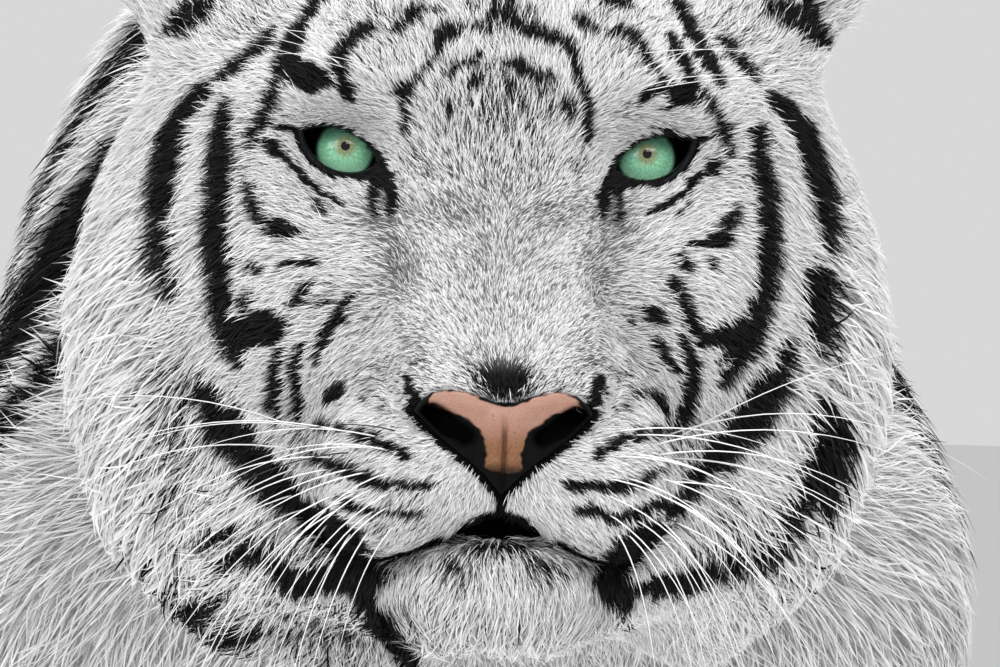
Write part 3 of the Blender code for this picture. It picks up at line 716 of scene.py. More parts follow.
# each stripe of the face: half its width, how dark it is, and a path sideways and up from between the pupils,
# in millimetres, as the face is seen from the front
# a few of them are painted shadow: under the ruff and beside the chin
faceStripesAndShadows = [
    # brow and forehead
    (1.6, 1, [(0.4, 66), (-1.2, 59), (-3.4, 51)]),
    (2.1, 1, [(5, 66), (7, 59), (9, 53)]),
    (1.6, 0.8, [(2.9, 60), (3.7, 54)]),
    (3.5, 1, [(-25, 45), (-23, 49), (-19, 51.5), (-14, 52)]),
    (1.6, 0.7, [(-13, 53), (-4, 52.5)]),
    (3.2, 1, [(8, 53), (14, 51), (20, 49.5), (26.5, 47), (31.5, 43.5), (33.5, 40)]),
    (1.9, 1, [(33, 41), (34, 36), (35, 31), (37, 26)]),
    (2.6, 1, [(36.5, 28), (38, 22), (38, 16), (37.3, 10), (36.8, 6)]),
    (2.1, 1, [(-43, 26), (-36.4, 29), (-32, 33), (-28, 36.5)]),
    (1.3, 0.7, [(-28, 36.5), (-24, 40), (-22, 44)]),
    (1.7, 1, [(-36, 28), (-37.5, 20), (-37.8, 14), (-37.2, 9)]),
    (2.3, 0.75, [(-21, 34), (-15, 36.5), (-9, 39), (-6, 41)]),
    (2.1, 0.85, [(-12, 28.5), (-7, 32)]),
    (1.4, 0.6, [(-4, 32), (-1, 38)]),
    (2.6, 0.8, [(3, 38), (7, 38), (10, 35.5), (14, 34), (19, 33), (24, 31)]),
    (2.0, 0.7, [(3.5, 32), (6, 28.5), (7.5, 23)]),
    (1.8, 0.6, [(18.8, 31), (19, 24)]),
    (1.6, 0.6, [(23.5, 20.5), (25, 17)]),
    (2.0, 0.8, [(28.5, 23), (31.5, 16)]),
    (1.5, 0.5, [(10, 21), (11, 17)]),
    (1.9, 0.7, [(-18.5, 22), (-18.5, 16)]),
    (1.2, 0.5, [(-24.5, 29), (-23.5, 24.5)]),
    (3.3, 1, [(-68, 39), (-63, 44), (-59.6, 47), (-56, 50), (-51, 52)]),
    (4.3, 1, [(-63.5, 43), (-65.5, 38), (-64, 33)]),
    (3.2, 1, [(-65, 31), (-62, 27), (-59, 24)]),
    (2.9, 1, [(-43, 50.5), (-39, 53.5), (-35, 57), (-31, 59)]),
    (1.5, 0.8, [(-31, 59.5), (-27, 60), (-22, 59)]),
    (1.4, 0.6, [(-13, 61.5), (-8, 61.7)]),
    (1.4, 0.6, [(12, 60), (17.5, 60)]),
    (3.0, 1, [(-71, 66), (-79.5, 54)]),
    (3.8, 1, [(-80, 53), (-86.5, 41), (-90, 34)]),
    (2.6, 1, [(-89, 34), (-94, 24), (-97.5, 15), (-101, 8), (-102, 3)]),
    (4.8, 1, [(-85, 34), (-80.5, 33), (-75, 31), (-71, 29.5)]),
    (1.6, 1, [(-85, 38), (-75, 36)]),
    (2.8, 0.75, [(-91, 50), (-100, 42), (-106, 36), (-114, 30)]),
    (2.6, 1, [(-96, 17), (-99, 11)]),
    (2.3, 1, [(30, 57), (35, 55.5), (39, 53), (43, 49.5)]),
    (2.3, 1, [(48, 50), (52, 51), (56.5, 48.5), (60, 45.5), (62, 42), (64, 39), (67, 34)]),
    (1.2, 0.6, [(46, 47.5), (49.5, 50)]),
    (2.4, 0.9, [(43, 64), (50, 62.5), (56, 62)]),
    (1.9, 1, [(59.5, 21), (64, 25.7), (68, 29), (71, 32)]),
    (1.1, 0.7, [(53, 15), (56, 22)]),
    (4.2, 1, [(72, 27), (77, 25), (82, 23)]),
    (1.2, 0.8, [(68, 19), (79, 22)]),
    (2.3, 1, [(71, 49), (78, 37), (82, 29), (83, 23)]),
    (2.9, 1, [(73, 66), (76.5, 58), (84, 44.5), (90.5, 34), (94, 28)]),
    (2.3, 1, [(87, 27), (91.5, 19), (94.5, 12), (96.5, 5), (99, -1)]),
    (3.0, 0.7, [(92.5, 48), (98, 41), (105, 33), (108, 28)]),
    (6.0, 0.7, [(112, 62), (126, 55), (137, 46)]),
    (6.0, 0.7, [(-118, 62), (-134, 52)]),
    # round the eyes
    (1.3, 0.9, [(-93, 13), (-82, 9), (-70, 13)]),
    (3.1, 1, [(-95, 4), (-90, 0)]),
    (1.6, 1, [(-91, 1), (-81, -9), (-73, -17), (-64, -21)]),
    (1.3, 0.7, [(-76, -20), (-71, -24)]),
    (1.3, 0.9, [(65, 12), (73, 10), (82, 5), (92, 8)]),
    (3.1, 1, [(93, -5), (88, -8)]),
    (1.6, 1, [(90, -6), (82, -12), (78, -17), (71, -22), (62, -25)]),
    (1.6, 0.6, [(83, -19), (75, -27)]),
    (2.4, 1, [(-46.5, -4), (-44.5, -11), (-43, -17), (-42.5, -22), (-44, -25)]),
    (3.0, 1, [(-50.5, -9), (-48, -15)]),
    (1.5, 1, [(-51, -10), (-50.5, -19), (-50, -26)]),
    (2.4, 1, [(48.5, -7), (46, -13), (44, -19), (44, -25)]),
    (3.0, 1, [(52, -11), (49.5, -16)]),
    (1.5, 1, [(52.5, -12), (51, -20), (51, -28)]),
    # left cheek
    (5.0, 1, [(-112, 21), (-113.2, 7), (-114, -4), (-115.5, -14), (-116.5, -32), (-115, -52), (-114, -68),
              (-111, -79), (-107.5, -86)]),
    (3.6, 0.95, [(-118, 27), (-126, 19), (-131, 12)]),
    (5.6, 1, [(-131, 12), (-135.5, -3), (-138, -18), (-139.5, -30)]),
    (4.5, 1, [(-138, -25), (-140, -45), (-134, -60)]),
    (7.0, 1, [(-110, -76), (-100, -73), (-90, -71)]),
    (1.6, 1, [(-105, -58), (-104, -66)]),
    (2.9, 1, [(-104, -12), (-102, -21), (-99, -27)]),
    (3.7, 1, [(-97, -29), (-92, -31), (-84, -32)]),
    (2.2, 1, [(-89, -47), (-84, -45), (-76, -46)]),
    (1.4, 0.7, [(-108, -43), (-102, -48), (-96, -49)]),
    (2.4, 1, [(-78, -55), (-82, -60), (-86, -63)]),
    (2.4, 1, [(-61, -59), (-65, -65), (-69, -72), (-73, -80), (-74, -86)]),
    (1.1, 0.7, [(-76, -63), (-69, -61)]),
    (2.7, 1, [(-91, -81), (-92, -88), (-93, -97), (-93, -105), (-91, -110)]),
    (2.4, 1, [(-81, -78), (-84, -88), (-83, -97), (-82, -110)]),
    (4.6, 1, [(-121, -96), (-118, -104)]),
    (8.8, 1, [(-116, -107), (-110, -116), (-105, -123)]),
    (9.2, 1, [(-105, -123), (-99, -131), (-93, -139), (-84, -146)]),
    (7.6, 1, [(-82, -147), (-71, -155), (-62, -163), (-55, -173), (-53, -186)]),
    (5.6, 1, [(-93, -170), (-82, -177), (-67, -177), (-56, -180)]),
    # partly black fur and partly painted shadow beside the chin
    (4.6, 0.85, [(-53, -186), (-46, -196), (-38, -206), (-34, -214)]),
    (2.8, 0.8, [(-123, -164), (-114, -160), (-107, -155)]),
    (3.4, 0.9, [(-114, -170), (-101, -166), (-94, -170), (-87, -175)]),
    (3.6, 0.8, [(-134, -195), (-119, -186)]),
    (3.4, 0.7, [(-131, -208), (-110, -200), (-99, -197)]),
    # right cheek
    (4.5, 1, [(108, 11), (108.8, 1), (110.5, -8), (112.5, -18), (113.5, -33), (112.3, -46), (110.5, -59),
              (108.5, -70), (105, -80), (100, -88), (94, -94.5)]),
    (4.8, 1, [(114, 23), (120, 17), (124.5, 10), (129.5, -3), (133.5, -15), (137, -29), (137.5, -42)]),
    (7.0, 1, [(132, -52), (135, -64), (134, -80)]),
    (3.3, 1, [(100, -23), (97, -30), (95, -35), (89, -37), (82, -37)]),
    (1.6, 0.8, [(89, -43), (91, -50)]),
    (1.9, 1, [(75, -42), (82, -48)]),
    (2.7, 1, [(73, -52), (79, -61), (82, -69), (86, -77)]),
    (3.7, 1, [(86, -79), (96, -76), (105, -70)]),
    (3.3, 0.8, [(62, -65), (70, -70)]),
    (1.6, 0.7, [(56, -69), (57.5, -71)]),
    (2.2, 1, [(67, -77), (71, -85), (75, -90)]),
    (3.0, 1, [(77, -76), (81, -86), (81, -97), (79, -108), (75, -114)]),
    (1.6, 0.9, [(100, -79), (91, -88)]),
    (3.2, 1, [(122, -79), (120, -86), (117, -93)]),
    (7.4, 1, [(118, -91), (113, -99), (107, -107)]),
    (9.6, 1, [(110, -103), (105, -111), (99, -119)]),
    (6.2, 0.9, [(100, -119), (93, -125), (88, -129)]),
    (4.2, 1, [(97, -121), (85, -133), (79, -142), (72, -150)]),
    (7.6, 1, [(136, -108), (138, -122), (135, -134), (131, -144), (123, -150)]),
    # the next two are painted shadow under the ruff
    (3.0, 0.9, [(118, -150), (124, -158), (116, -167), (104, -171)]),
    (4.4, 0.95, [(106, -170), (90, -174), (72, -178), (56, -181)]),
    # partly black fur and partly painted shadow beside the chin
    (6.8, 1, [(67, -156), (57, -163), (50, -171), (47, -181), (52, -188)]),
    # muzzle
    (3.0, 0.9, [(-63, -97), (-69, -104)]),
    (2.3, 0.9, [(-55.5, -101.5), (-54.5, -103.5)]),
    (1.8, 0.8, [(-48.5, -104.5), (-47.5, -106)]),
    (1.8, 0.6, [(-75, -92), (-72, -93)]),
    *((3.1, 1, [(u - 1.2, w + 0.7), (u + 1.2, w - 0.7)])
      for u, w in ((-71.5, -113), (-64, -114.5), (-57, -117.5), (-50.5, -119), (-45, -121.5), (-39, -125))),
    (2.4, 1, [(-76, -126), (-67, -130), (-57, -134)]),
    (3.0, 1, [(-60, -133), (-50, -137), (-44, -137)]),
    (1.9, 0.9, [(-46, -137), (-36, -138), (-26, -137)]),
    (2.2, 0.9, [(-66, -143), (-57, -147), (-48, -149)]),
    (1.7, 0.7, [(-46, -149), (-31, -149)]),
    (1.7, 0.6, [(-79, -137), (-72, -138)]),
    (2.3, 0.9, [(63, -99), (71, -108)]),
    (2.0, 0.9, [(59, -100.5), (60.5, -101.5)]),
    (1.9, 0.8, [(54.5, -104.5), (55.5, -105.5)]),
    (1.9, 0.8, [(50, -107), (51, -108)]),
    *((3.1, 1, [(u + 1.2, w + 0.7), (u - 1.2, w - 0.7)])
      for u, w in ((72, -115), (65.5, -116.5), (59, -117.5), (53, -119), (48.5, -121.5), (44, -124.5))),
    (2.2, 1, [(29, -137), (41, -138), (50, -139)]),
    (3.0, 1, [(46, -139), (55, -138), (62, -136)]),
    (2.2, 1, [(60, -136), (70, -132)]),
    (2.1, 0.9, [(34, -148), (42, -148), (49, -151), (58, -150), (67, -146), (76, -146)]),
    # nose and chin
    (2.4, 1, [(2.2, -139), (2.2, -151)]),
    (2.4, 1, [(-37, -93), (-34.5, -101), (-30, -109), (-24, -116)]),
    (2.4, 1, [(42.5, -93), (41, -101), (37, -109), (31, -116)]),
    (2.4, 0.6, [(-21, -167), (-16, -174)]),
    (2.4, 0.6, [(14, -167), (22, -175)]),
]


# wobble: a sum of a few sines of the place, from about -1 to 1, the same each time
def wobble(p, size, seed):
    turns = np.random.default_rng(seed).normal(size=(5, 3)).astype(np.float32)
    starts = np.random.default_rng(seed + 1).uniform(0, 6.3, 5)
    return sum(np.sin((t[:, None] * p).sum(0) * (3.0 / size) + s) for t, s in zip(turns, starts)) / 2.5


# a stripe is dark where the distance to its path is less than a width that narrows towards its ends
def faceMark(q):
    u, w = (values * 1000 for values in frontView(turnMatrix(lookFrom["turn"]) @ q))
    u, w = u + 0.9 * wobble(q, 0.006, 3), w + 0.9 * wobble(q, 0.006, 4)
    mark = np.zeros(u.shape, np.float32)
    for half, depth, points in faceStripesAndShadows:
        xs, ws = zip(*points)
        near = (np.abs(u - (min(xs) + max(xs)) / 2) < (max(xs) - min(xs)) / 2 + half + 6)
        near &= np.abs(w - (min(ws) + max(ws)) / 2) < (max(ws) - min(ws)) / 2 + half + 6
        d, t = pathDistance(u[near], w[near], points)
        width = 1.06 * half * (1 - 0.45 * np.abs(2 * t - 1) ** 3) + 0.3
        mark[near] = np.maximum(mark[near], depth * ease(width + 1.1, width - 1.1, d))
    s = folded(q)
    a, b = eyePlane(s)
    rim = 0.0013 + 0.0024 * ease(0.002, -0.004, b) + 0.0016 * ease(-0.009, -0.016, a)
    lid = ease(rim + 0.001, rim - 0.001, almond(a, b) + 0.0006 * wobble(q, 0.003, 5)) * (q[1] < 0.05)
    u, w = frontView(s)
    lips = ease(0.0023, 0.0005, mouthGap(u, w)) * (q[1] < -0.01) * ease(0.075, 0.060, u)
    edge = fromOutline(u, w, noseOutline)
    fringe = ease(0.0062, 0.0010, edge) * ease(-0.099, -0.106, w) * (q[1] < -0.05)
    return np.maximum(np.maximum(mark, fringe), np.maximum(lid, lips))


# part grey hair, as on the bridge of the nose, and part painted shade towards the edges of the face
greyHairAndShade = {  # share of dark hairs, centre and spread in the front view, in millimetres
    "both": [  # sides of the face
        (0.66, (41, -46), (11, 28)),
        (0.48, (36, -80), (12, 20)),
        (0.50, (0, 20), (30, 19)),
        (0.46, (0, -10), (34, 22)),
        (0.60, (20, -24), (24, 13)),
        (0.78, (46, -26), (14, 15)),
        (0.42, (0, -44), (42, 46)),
        (0.34, (0, -85), (34, 16)),
        (0.40, (32, -6), (8, 12)),
        (0.26, (54, -92), (16, 14)),
        (0.75, (47.5, -20), (4, 8)),
        (0.80, (0, -164), (30, 6)),
        (0.58, (19, -172), (13, 8)),
        (0.50, (34, -170), (16, 3.5)),
        (0.36, (18, -175), (10, 9)),
        (0.90, (47, -176), (7, 9)),
        (0.22, (70, -62), (12, 12)),
        (0.16, (96, 2), (20, 16)),
        (0.28, (50, 52), (18, 16)),
        (0.30, (100, 54), (16, 14)),
        (0.30, (0, 56), (14, 10)),
        (0.22, (50, -68), (20, 18)),
    ],
    "one": [
        (1.3, (0, -93.2), (14.5, 9.8)),
        # the rest are mostly painted shade, at the lower sides of the face, under the whisker pads and under
        # the chin
        (0.30, (-48, -150), (14, 10)),
        (0.22, (-80, -24), (22, 12)),
        (0.55, (-76, -166), (20, 13)),
        (0.62, (-118, -202), (34, 22)),
        (0.72, (-62, -202), (30, 16)),
        (0.45, (-126, -120), (14, 30)),
        (0.40, (82, -124), (18, 14)),
        (0.34, (-76, -126), (14, 16)),
        (0.40, (112, -160), (22, 14)),
    ],
}


# the greatest of bell curves round the grey places, grey hair and painted shade, eased out behind the ears
def faceGreyAndShade(q):
    u, w = (values * 1000 for values in frontView(q))
    grey = np.zeros(u.shape, np.float32)
    for key, across in (("both", np.abs(u)), ("one", u)):
        for depth, (cu, cw), (su, sw) in greyHairAndShade[key]:
            grey = np.maximum(grey, depth * np.exp(-(((across - cu) / su) ** 2) - ((w - cw) / sw) ** 2))
    return grey * ease(0.26, 0.16, q[1])


bodyStripes = {  # along the trunk and neck, in metres
    "from": -0.30,
    "to": 1.16,
    "apart": 0.060,
    "halfWidth": (0.0075, 0.013),
    "start": (-0.02, 0.03),  # from the spine, down the side
    "reach": (0.34, 0.56),
    "lean": (-0.18, 0.22),
    "paired": 0.55,  # share that are two lines that meet at their ends
    "split": 0.026,
}


# a stripe runs down from the spine: y = place + lean x way down + wave, or two such lines that bow apart
def trunkMark(p):
    draw = np.random.default_rng(21)
    x, y, z = p
    middle = throughPoints(y, trunkShape["y"], trunkShape["middle"])
    down = np.arctan2(np.abs(x), z - middle) * 0.21
    mark = np.zeros(y.shape, np.float32)
    shape, drawn = bodyStripes, ("halfWidth", "start", "reach", "lean")
    count = int((shape["to"] - shape["from"]) / shape["apart"])
    wave = wobble(p, 0.16, 7) * 0.016 + wobble(p, 0.04, 8) * 0.003
    for side in (1, -1):
        for i in range(count):
            at = shape["from"] + (i + draw.uniform(0.2, 0.8)) * shape["apart"]
            half, start, reach, lean = (draw.uniform(*shape[key]) for key in drawn)
            split = shape["split"] * draw.uniform(0.7, 1.2) * (draw.uniform() < shape["paired"])
            along = np.clip((down - start) / reach, -0.2, 1.2)
            bow = np.maximum(np.sin(np.pi * np.clip(along, 0, 1)), 0) ** 0.7
            centre = at + lean * (down - start) + wave
            d = np.abs(np.abs(y - centre) - split * bow / 2)
            ends = ease(-0.03, 0.04, along) * ease(1.05, 0.75, along)
            width = half * (0.50 + 0.62 * np.sin(np.pi * np.clip(along, 0, 1) * 0.8 + 0.4)) * ends
            here = ease(width + 0.003, width - 0.003, d) * (ends > 0.05) * (x * side > -0.004)
            mark = np.maximum(mark, here)
    return mark


limbStripes = {  # height, how far round from the outside it runs in radians, half width
    "fore": [
        (0.63, 0.9, 0.009), (0.56, 0.7, 0.007), (0.49, 1.3, 0.009), (0.42, 1.0, 0.008), (0.355, 1.6, 0.009),
        (0.30, 1.0, 0.006), (0.245, 1.5, 0.008), (0.19, 1.2, 0.006), (0.14, 0.8, 0.005),
    ],
    "hind": [
        (0.66, 1.0, 0.011), (0.60, 1.2, 0.011), (0.54, 1.3, 0.011), (0.48, 1.5, 0.010), (0.425, 1.6, 0.010),
        (0.37, 1.7, 0.009), (0.32, 1.5, 0.008), (0.27, 1.6, 0.008), (0.22, 1.3, 0.007), (0.17, 1.2, 0.006),
    ],
    "fromMiddle": 0.135,  # the axis of a leg
    "reach": {"fore": 0.135, "hind": 0.190},  # bands stop at this distance from the axis
    "slant": 0.05,
    "wave": 0.012,
}


# bands round each leg: black where |height - band's height - slant sin(angle) - wave| is less than a width
# that narrows to nothing with the angle from the band's middle, which is near the outside of the leg
def legMark(p, side, kind):
    x, y, z = p
    centreY = {"fore": 0.02, "hind": 0.90 + 0.35 * ease(0.6, 0.3, z) * 0.3}[kind]
    middle, reach = limbStripes["fromMiddle"], limbStripes["reach"][kind]
    bearing = np.arctan2(y - centreY, (x - side * middle) * side)
    onLeg = ease(reach + 0.03, reach, np.hypot(x - side * middle, y - centreY))
    mark = np.zeros(z.shape, np.float32)
    wave = wobble(p, 0.09, 12 + side) * limbStripes["wave"]
    for i, (height, run, half) in enumerate(limbStripes[kind]):
        height = height + 0.012 * side
        turn = 0.4 * math.sin(3.1 * i + side)
        away = np.abs(bearing - turn)
        width = half * ease(run, run * 0.4, away) * onLeg
        d = np.abs(z - height - limbStripes["slant"] * np.sin(bearing - turn) - wave)
        mark = np.maximum(mark, ease(width + 0.0025, width - 0.0025, d) * (width > 0.001))
    return mark


tailMarks = {  # from 0 at the root to 1 at the tip
    "rings": [0.06, 0.15, 0.24, 0.33, 0.42, 0.50, 0.58, 0.66, 0.73, 0.80, 0.86],
    "halfWidth": 0.016,
    "varied": 0.006,  # from ring to ring
    "tip": (0.93, 0.95),  # black from here on
}


# the part of the tail's middle line that is nearest, from 0 to 1
def alongTail(p):
    line = tailLine(60)
    d = ((p[:, :, None] - line[:, :3].T[:, None, :]) ** 2).sum(0)
    return d.argmin(1) / 59


crown = {
    "rows": (0.028, 0.054, 0.084, 0.114, 0.144),  # behind the eyes
    "halfWidth": 0.0042,
    "sweep": 0.28,  # how fast each line runs back on its way out
    "wave": 0.005,
}


# lines across the top of the head, behind what the front view shows: each from near the middle out to the ear
def crownMark(q):
    out = np.abs(q[0])
    _, w = frontView(q)
    width = crown["halfWidth"] * ease(0.006, 0.026, out) * ease(0.086, 0.060, out)
    bent = q[1] - crown["sweep"] * out + crown["wave"] * wobble(q, 0.03, 60)
    d = np.min([np.abs(bent - row) for row in crown["rows"]], axis=0)
    return ease(width + 0.0012, width - 0.0012, d) * (width > 0.0008) * ease(0.066, 0.071, w) * (q[2] > 0.04)


# the markings of each region in its own part of the body
def mark(p):
    q = fromEyes(p)
    onHead = q[1] < 0.16 + 0.08 * (q[2] < -0.16)
    onTail = p[1] > regions["tail"]
    low = (p[2] < 0.66) & ~onTail & ~onHead
    out = np.zeros(p.shape[1], np.float32)
    out[onHead] = np.max([marked(q[:, onHead]) for marked in (faceMark, earMark, crownMark)], axis=0)
    rest = ~onHead & ~onTail
    belly = ease(0.43, 0.50, p[2])
    out[rest] = trunkMark(p[:, rest]) * belly[rest]
    hind = p[1] >= regions["hindquarters"]
    for side in (1, -1):
        for kind, near in (("fore", ~hind), ("hind", hind)):
            here = low & near & (p[0] * side > 0.02)
            band = legMark(p[:, here], side, kind)
            out[here] = np.maximum(out[here] * ease(0.40, 0.50, p[2][here]), band)
    t = alongTail(p[:, onTail])
    wavy = t + 0.008 * wobble(p[:, onTail], 0.05, 30)
    rings = np.zeros(t.shape, np.float32)
    for i, at in enumerate(tailMarks["rings"]):
        half = tailMarks["halfWidth"] + tailMarks["varied"] * math.sin(2.2 * i)
        rings = np.maximum(rings, ease(half + 0.006, half - 0.006, np.abs(wavy - at)))
    out[onTail] = np.maximum(rings, ease(*tailMarks["tip"], t))
    return out


# the backs of the ears: black where the distance to the middle of the back is more than the spot's radius
def earMark(q):
    s = folded(q)
    turned = turnMatrix(earShape["turn"]).T @ (s - column(earShape["place"]))
    isEar = ball(s, earShape["place"], earShape["outer"], earShape["turn"]) < 0.004
    back = ease(0.004, 0.012, turned[1])
    spot = np.hypot(turned[0], turned[2] - 0.004)
    rim = ease(0.052, 0.060, np.hypot(turned[0] * 1.15, turned[2]))
    black = np.maximum(back * ease(*earShape["spot"], spot), 0.8 * rim * back)
    return isEar * (turned[2] > -0.030) * black


# the bones of one side's legs: start, end, radius; the hair runs from start to end
def legBones(side):
    fore, hind = stance["foreStep"][side], stance["hindStep"][side]
    return [
        ((side * 0.11, -0.02, 0.80), (side * 0.15, 0.03, 0.50), 0.10),
        ((side * 0.150, 0.047, 0.50), (side * 0.137, fore, 0.12), 0.07),
        ((side * 0.139, fore, 0.09), (side * 0.139, fore - 0.16, 0.02), 0.06),
        ((side * 0.10, 0.85, 0.76), (side * 0.145, 0.90 + 0.4 * hind, 0.46), 0.13),
        ((side * 0.145, 0.86, 0.48), (side * 0.132, 1.044 + hind, 0.29), 0.06),
        ((side * 0.132, 1.044 + hind, 0.29), (side * 0.132, 1.0 + hind, 0.09), 0.05),
        ((side * 0.132, 1.0 + hind, 0.07), (side * 0.132, 0.86 + hind, 0.02), 0.05),
    ]


trunkBones = [((0, -0.36, 0.80), (0, 0.00, 0.72), 0.16), ((0, 0.00, 0.72), (0, 1.10, 0.66), 0.21)]


# the lie on the body: the directions of the bones, each weighed by how near it is
def bodyLie(p):
    total = np.zeros(p.shape)
    line = tailLine(9)[:, :3]
    tailBones = [(a, b, 0.045) for a, b in zip(line, line[1:])]
    for start, end, radius in trunkBones + legBones(1) + legBones(-1) + tailBones:
        a, b = column(start), column(end)
        t = np.clip(((b - a) * (p - a)).sum(0) / ((b - a) ** 2).sum(), 0, 1)
        away = np.sqrt(((p - a - (b - a) * t) ** 2).sum(0)) - radius
        total += unit(b - a, 0) / (np.maximum(away, 0) + 0.025) ** 3
    total = unit(total, 0)
    total[2] -= 0.15  # it hangs a little
    return total


# the lie on the head: outwards from a whorl between the eyes, from the nose on the muzzle, and down the ruff
def headLie(q):
    side = np.sign(q[0])
    lie = unit(q - column((0, -0.045, -0.030)), 0)
    lie += column((0, 0, 1.8)) * bell(q, (0, -0.07, -0.052), (0.046, 0.08, 0.044))
    muzzle = bell(q, (0, -0.10, -0.135), (0.075, 0.06, 0.055))
    lie += 2.5 * muzzle * unit(q - column((0, -0.145, -0.118)), 0)
    chin = bell(q, (0, -0.06, -0.190), (0.055, 0.06, 0.035))
    lie += 2.0 * chin * unit(q - column((0, -0.050, -0.140)), 0)
    ruff = ease(0.07, 0.13, np.abs(q[0])) * ease(0.06, -0.02, q[2])
    lie += ruff * np.stack([0.8 * side, np.full(side.shape, 0.5), np.full(side.shape, -0.9)])
    atEar = bell(folded(q), earShape["place"], (0.07, 0.07, 0.07))
    earRoot = np.stack([side * 0.095, np.full(side.shape, 0.09), np.full(side.shape, 0.03)])
    lie += 2 * atEar * unit(q - earRoot, 0)
    return lie


# the lie of head and body, eased together on the neck and laid flat on the skin
def lie(p, normals):
    q = fromEyes(p)
    behind = ease(*regions["neck"], q[1])
    flow = unit(headLie(q), 0) * (1 - behind) + bodyLie(p) * behind
    flow = flow - normals * (flow * normals).sum(0)
    return unit(flow, 0)


hairLengths = {  # those that say so are added to the face's or, behind the head, to the leg's
    "face": 0.0088,
    "cheek": 0.0045,  # added
    "forehead": 0.003,  # added
    "ruff": 0.020,  # added
    "jowl": 0.008,  # added
    "chin": 0.013,  # added
    "bridge": 0.0045,
    "muzzle": 0.0068,
    "eye": 0.0046,
    "ear": 0.0085,
    "leg": 0.015,
    "trunk": 0.008,  # added
    "chest": 0.006,  # added
    "foot": -0.006,  # added
}


# how long the hair is: a length for each part of the face and body, eased from one to the next
def hairLength(p):
    x, y, z = np.abs(p[0]), p[1] - eyeMid[1], p[2] - eyeMid[2]
    u, w = frontView(np.stack([x, y, z]))
    face = hairLengths["face"] + hairLengths["cheek"] * ease(0.080, 0.120, x)
    face += hairLengths["forehead"] * ease(0.03, 0.07, z) * ease(0.08, 0.02, x)
    ruff = hairLengths["ruff"] * ease(0.115, 0.145, x) * ease(0.02, -0.08, z)
    face += ruff + hairLengths["jowl"] * ease(-0.120, -0.160, w) * ease(0.075, 0.09, x)
    face += hairLengths["chin"] * ease(-0.176, -0.196, w) * ease(0.06, 0.0, y)
    bridge = ease(0.056, 0.036, u) * ease(0.015, -0.015, w) * ease(-0.15, -0.12, w)
    muzzle = np.exp(-(((u - 0.042) / 0.036) ** 2) - ((w + 0.130) / 0.030) ** 2) * ease(0.0, -0.03, y)
    eye = np.exp(-((np.hypot(u - 0.0625, w) / 0.026) ** 4))
    parts = {"bridge": bridge, "muzzle": muzzle, "eye": eye, "ear": onEars((x, y, z))}
    for key, share in parts.items():
        face += (hairLengths[key] - face) * share
    behind = hairLengths["leg"] + hairLengths["trunk"] * ease(0.30, 0.50, p[2])
    behind += hairLengths["chest"] * ease(0.60, 0.30, y)
    behind += hairLengths["foot"] * ease(0.14, 0.05, p[2])
    return face + (behind - face) * ease(0.12, 0.26, y)


# places on the skin, more of them where "wanted" is larger, with their normals: even steps along the running
# total of area x wanted, then a random place in each quad
def scatter(count, wanted):
    corners = skinVerts[skinQuads]
    across = np.cross(corners[:, 2] - corners[:, 0], corners[:, 3] - corners[:, 1])
    area = np.sqrt((across**2).sum(1)) / 2 * wanted[skinQuads].mean(1)
    reach = np.cumsum(area)
    draw = (np.arange(count) + rng.uniform(size=count)) / count * reach[-1]
    chosen = np.minimum(np.searchsorted(reach, draw), len(reach) - 1)
    s, t = rng.uniform(size=(2, count, 1))
    weights = [(1 - s) * (1 - t), s * (1 - t), s * t, (1 - s) * t]
    places = sum(w * skinVerts[skinQuads[chosen, i]] for i, w in enumerate(weights))
    normals = unit(sum(w * skinNormals[skinQuads[chosen, i]] for i, w in enumerate(weights)))
    return places.T.astype(np.float32), normals.T.astype(np.float32)


# the skin opened flat: the head by its bearings from its middle, the trunk, legs and tail as cylinders
def unwrap(p):
    q = p - column(eyeMid + [0, 0.07, -0.04])
    away = np.sqrt((q**2).sum(0)) + 1e-9
    bearing, dip = np.arctan2(q[0], -q[1]), np.arccos(np.clip(q[2] / away, -1, 1))
    headMap = np.stack([bearing / (2 * np.pi) + 0.5, dip / np.pi])
    centre = throughPoints(p[1], trunkShape["y"], trunkShape["middle"])
    trunkMap = np.stack([(p[1] + 0.4) / 1.7, np.arctan2(p[0], p[2] - centre) / (2 * np.pi) * 0.48 + 0.25])
    side, rear = np.sign(p[0]), p[1] > regions["hindquarters"]
    legY = np.where(rear, 0.95, 0.0)
    turned = np.arctan2(p[0] - side * 0.137, p[1] - legY) / (2 * np.pi) + 0.5
    leg = rear * 2 + (side > 0)
    legMap = np.stack([(leg + turned * 0.96 + 0.02) / 4, 0.50 + 0.36 * np.clip(p[2] / 0.5, 0, 1)])
    t = alongTail(p)
    tailMap = np.stack([t, 0.88 + 0.11 * (np.arctan2(p[0], p[2] - 0.5) / (2 * np.pi) + 0.5)])
    flat = np.where(p[2] < 0.45, legMap, trunkMap)
    flat = np.where(p[1] > regions["tail"], tailMap, flat)
    return np.clip(np.where(p[1] < -0.28, headMap, flat), 0.002, 0.995)


# a function of many places, worked out some at a time to spare memory
def inChunks(function, p, size=250000):
    return np.concatenate([function(p[:, i:i + size]) for i in range(0, p.shape[1], size)])


groom = {
    "slim": 0.052,  # width over length
    "widths": (0.00042, 0.0030),  # least and most
    "wider": (0.7, 1.3),  # each tuft's own width, over the width there
    "longer": (0.65, 1.25),  # each tuft's own length, over the length there
    "heading": 0.17,  # spread from the lie, in radians
    "wave": 0.25,  # and what neighbours turn together
    "roll": 0.35,  # spread of the turn about its own line, in radians
    "bend": 0.14,  # spread of the sideways bend, over the length
    "rise": 0.22,  # how far the tip stands off, over the length
    "higher": (0.4, 1.5),  # each tuft's own rise, over that
    "sunk": 0.0008,  # its root under the skin
    "clear": 0.0004,  # the rest over the skin, at the least
    "patch": 0.003,  # of each tuft in the unwrap
    "startsAt": 0.22,  # the part of a tuft that its root's colour is read at
    "showsAt": 0.72,  # the part of a tuft that others leave in sight, from its root
}
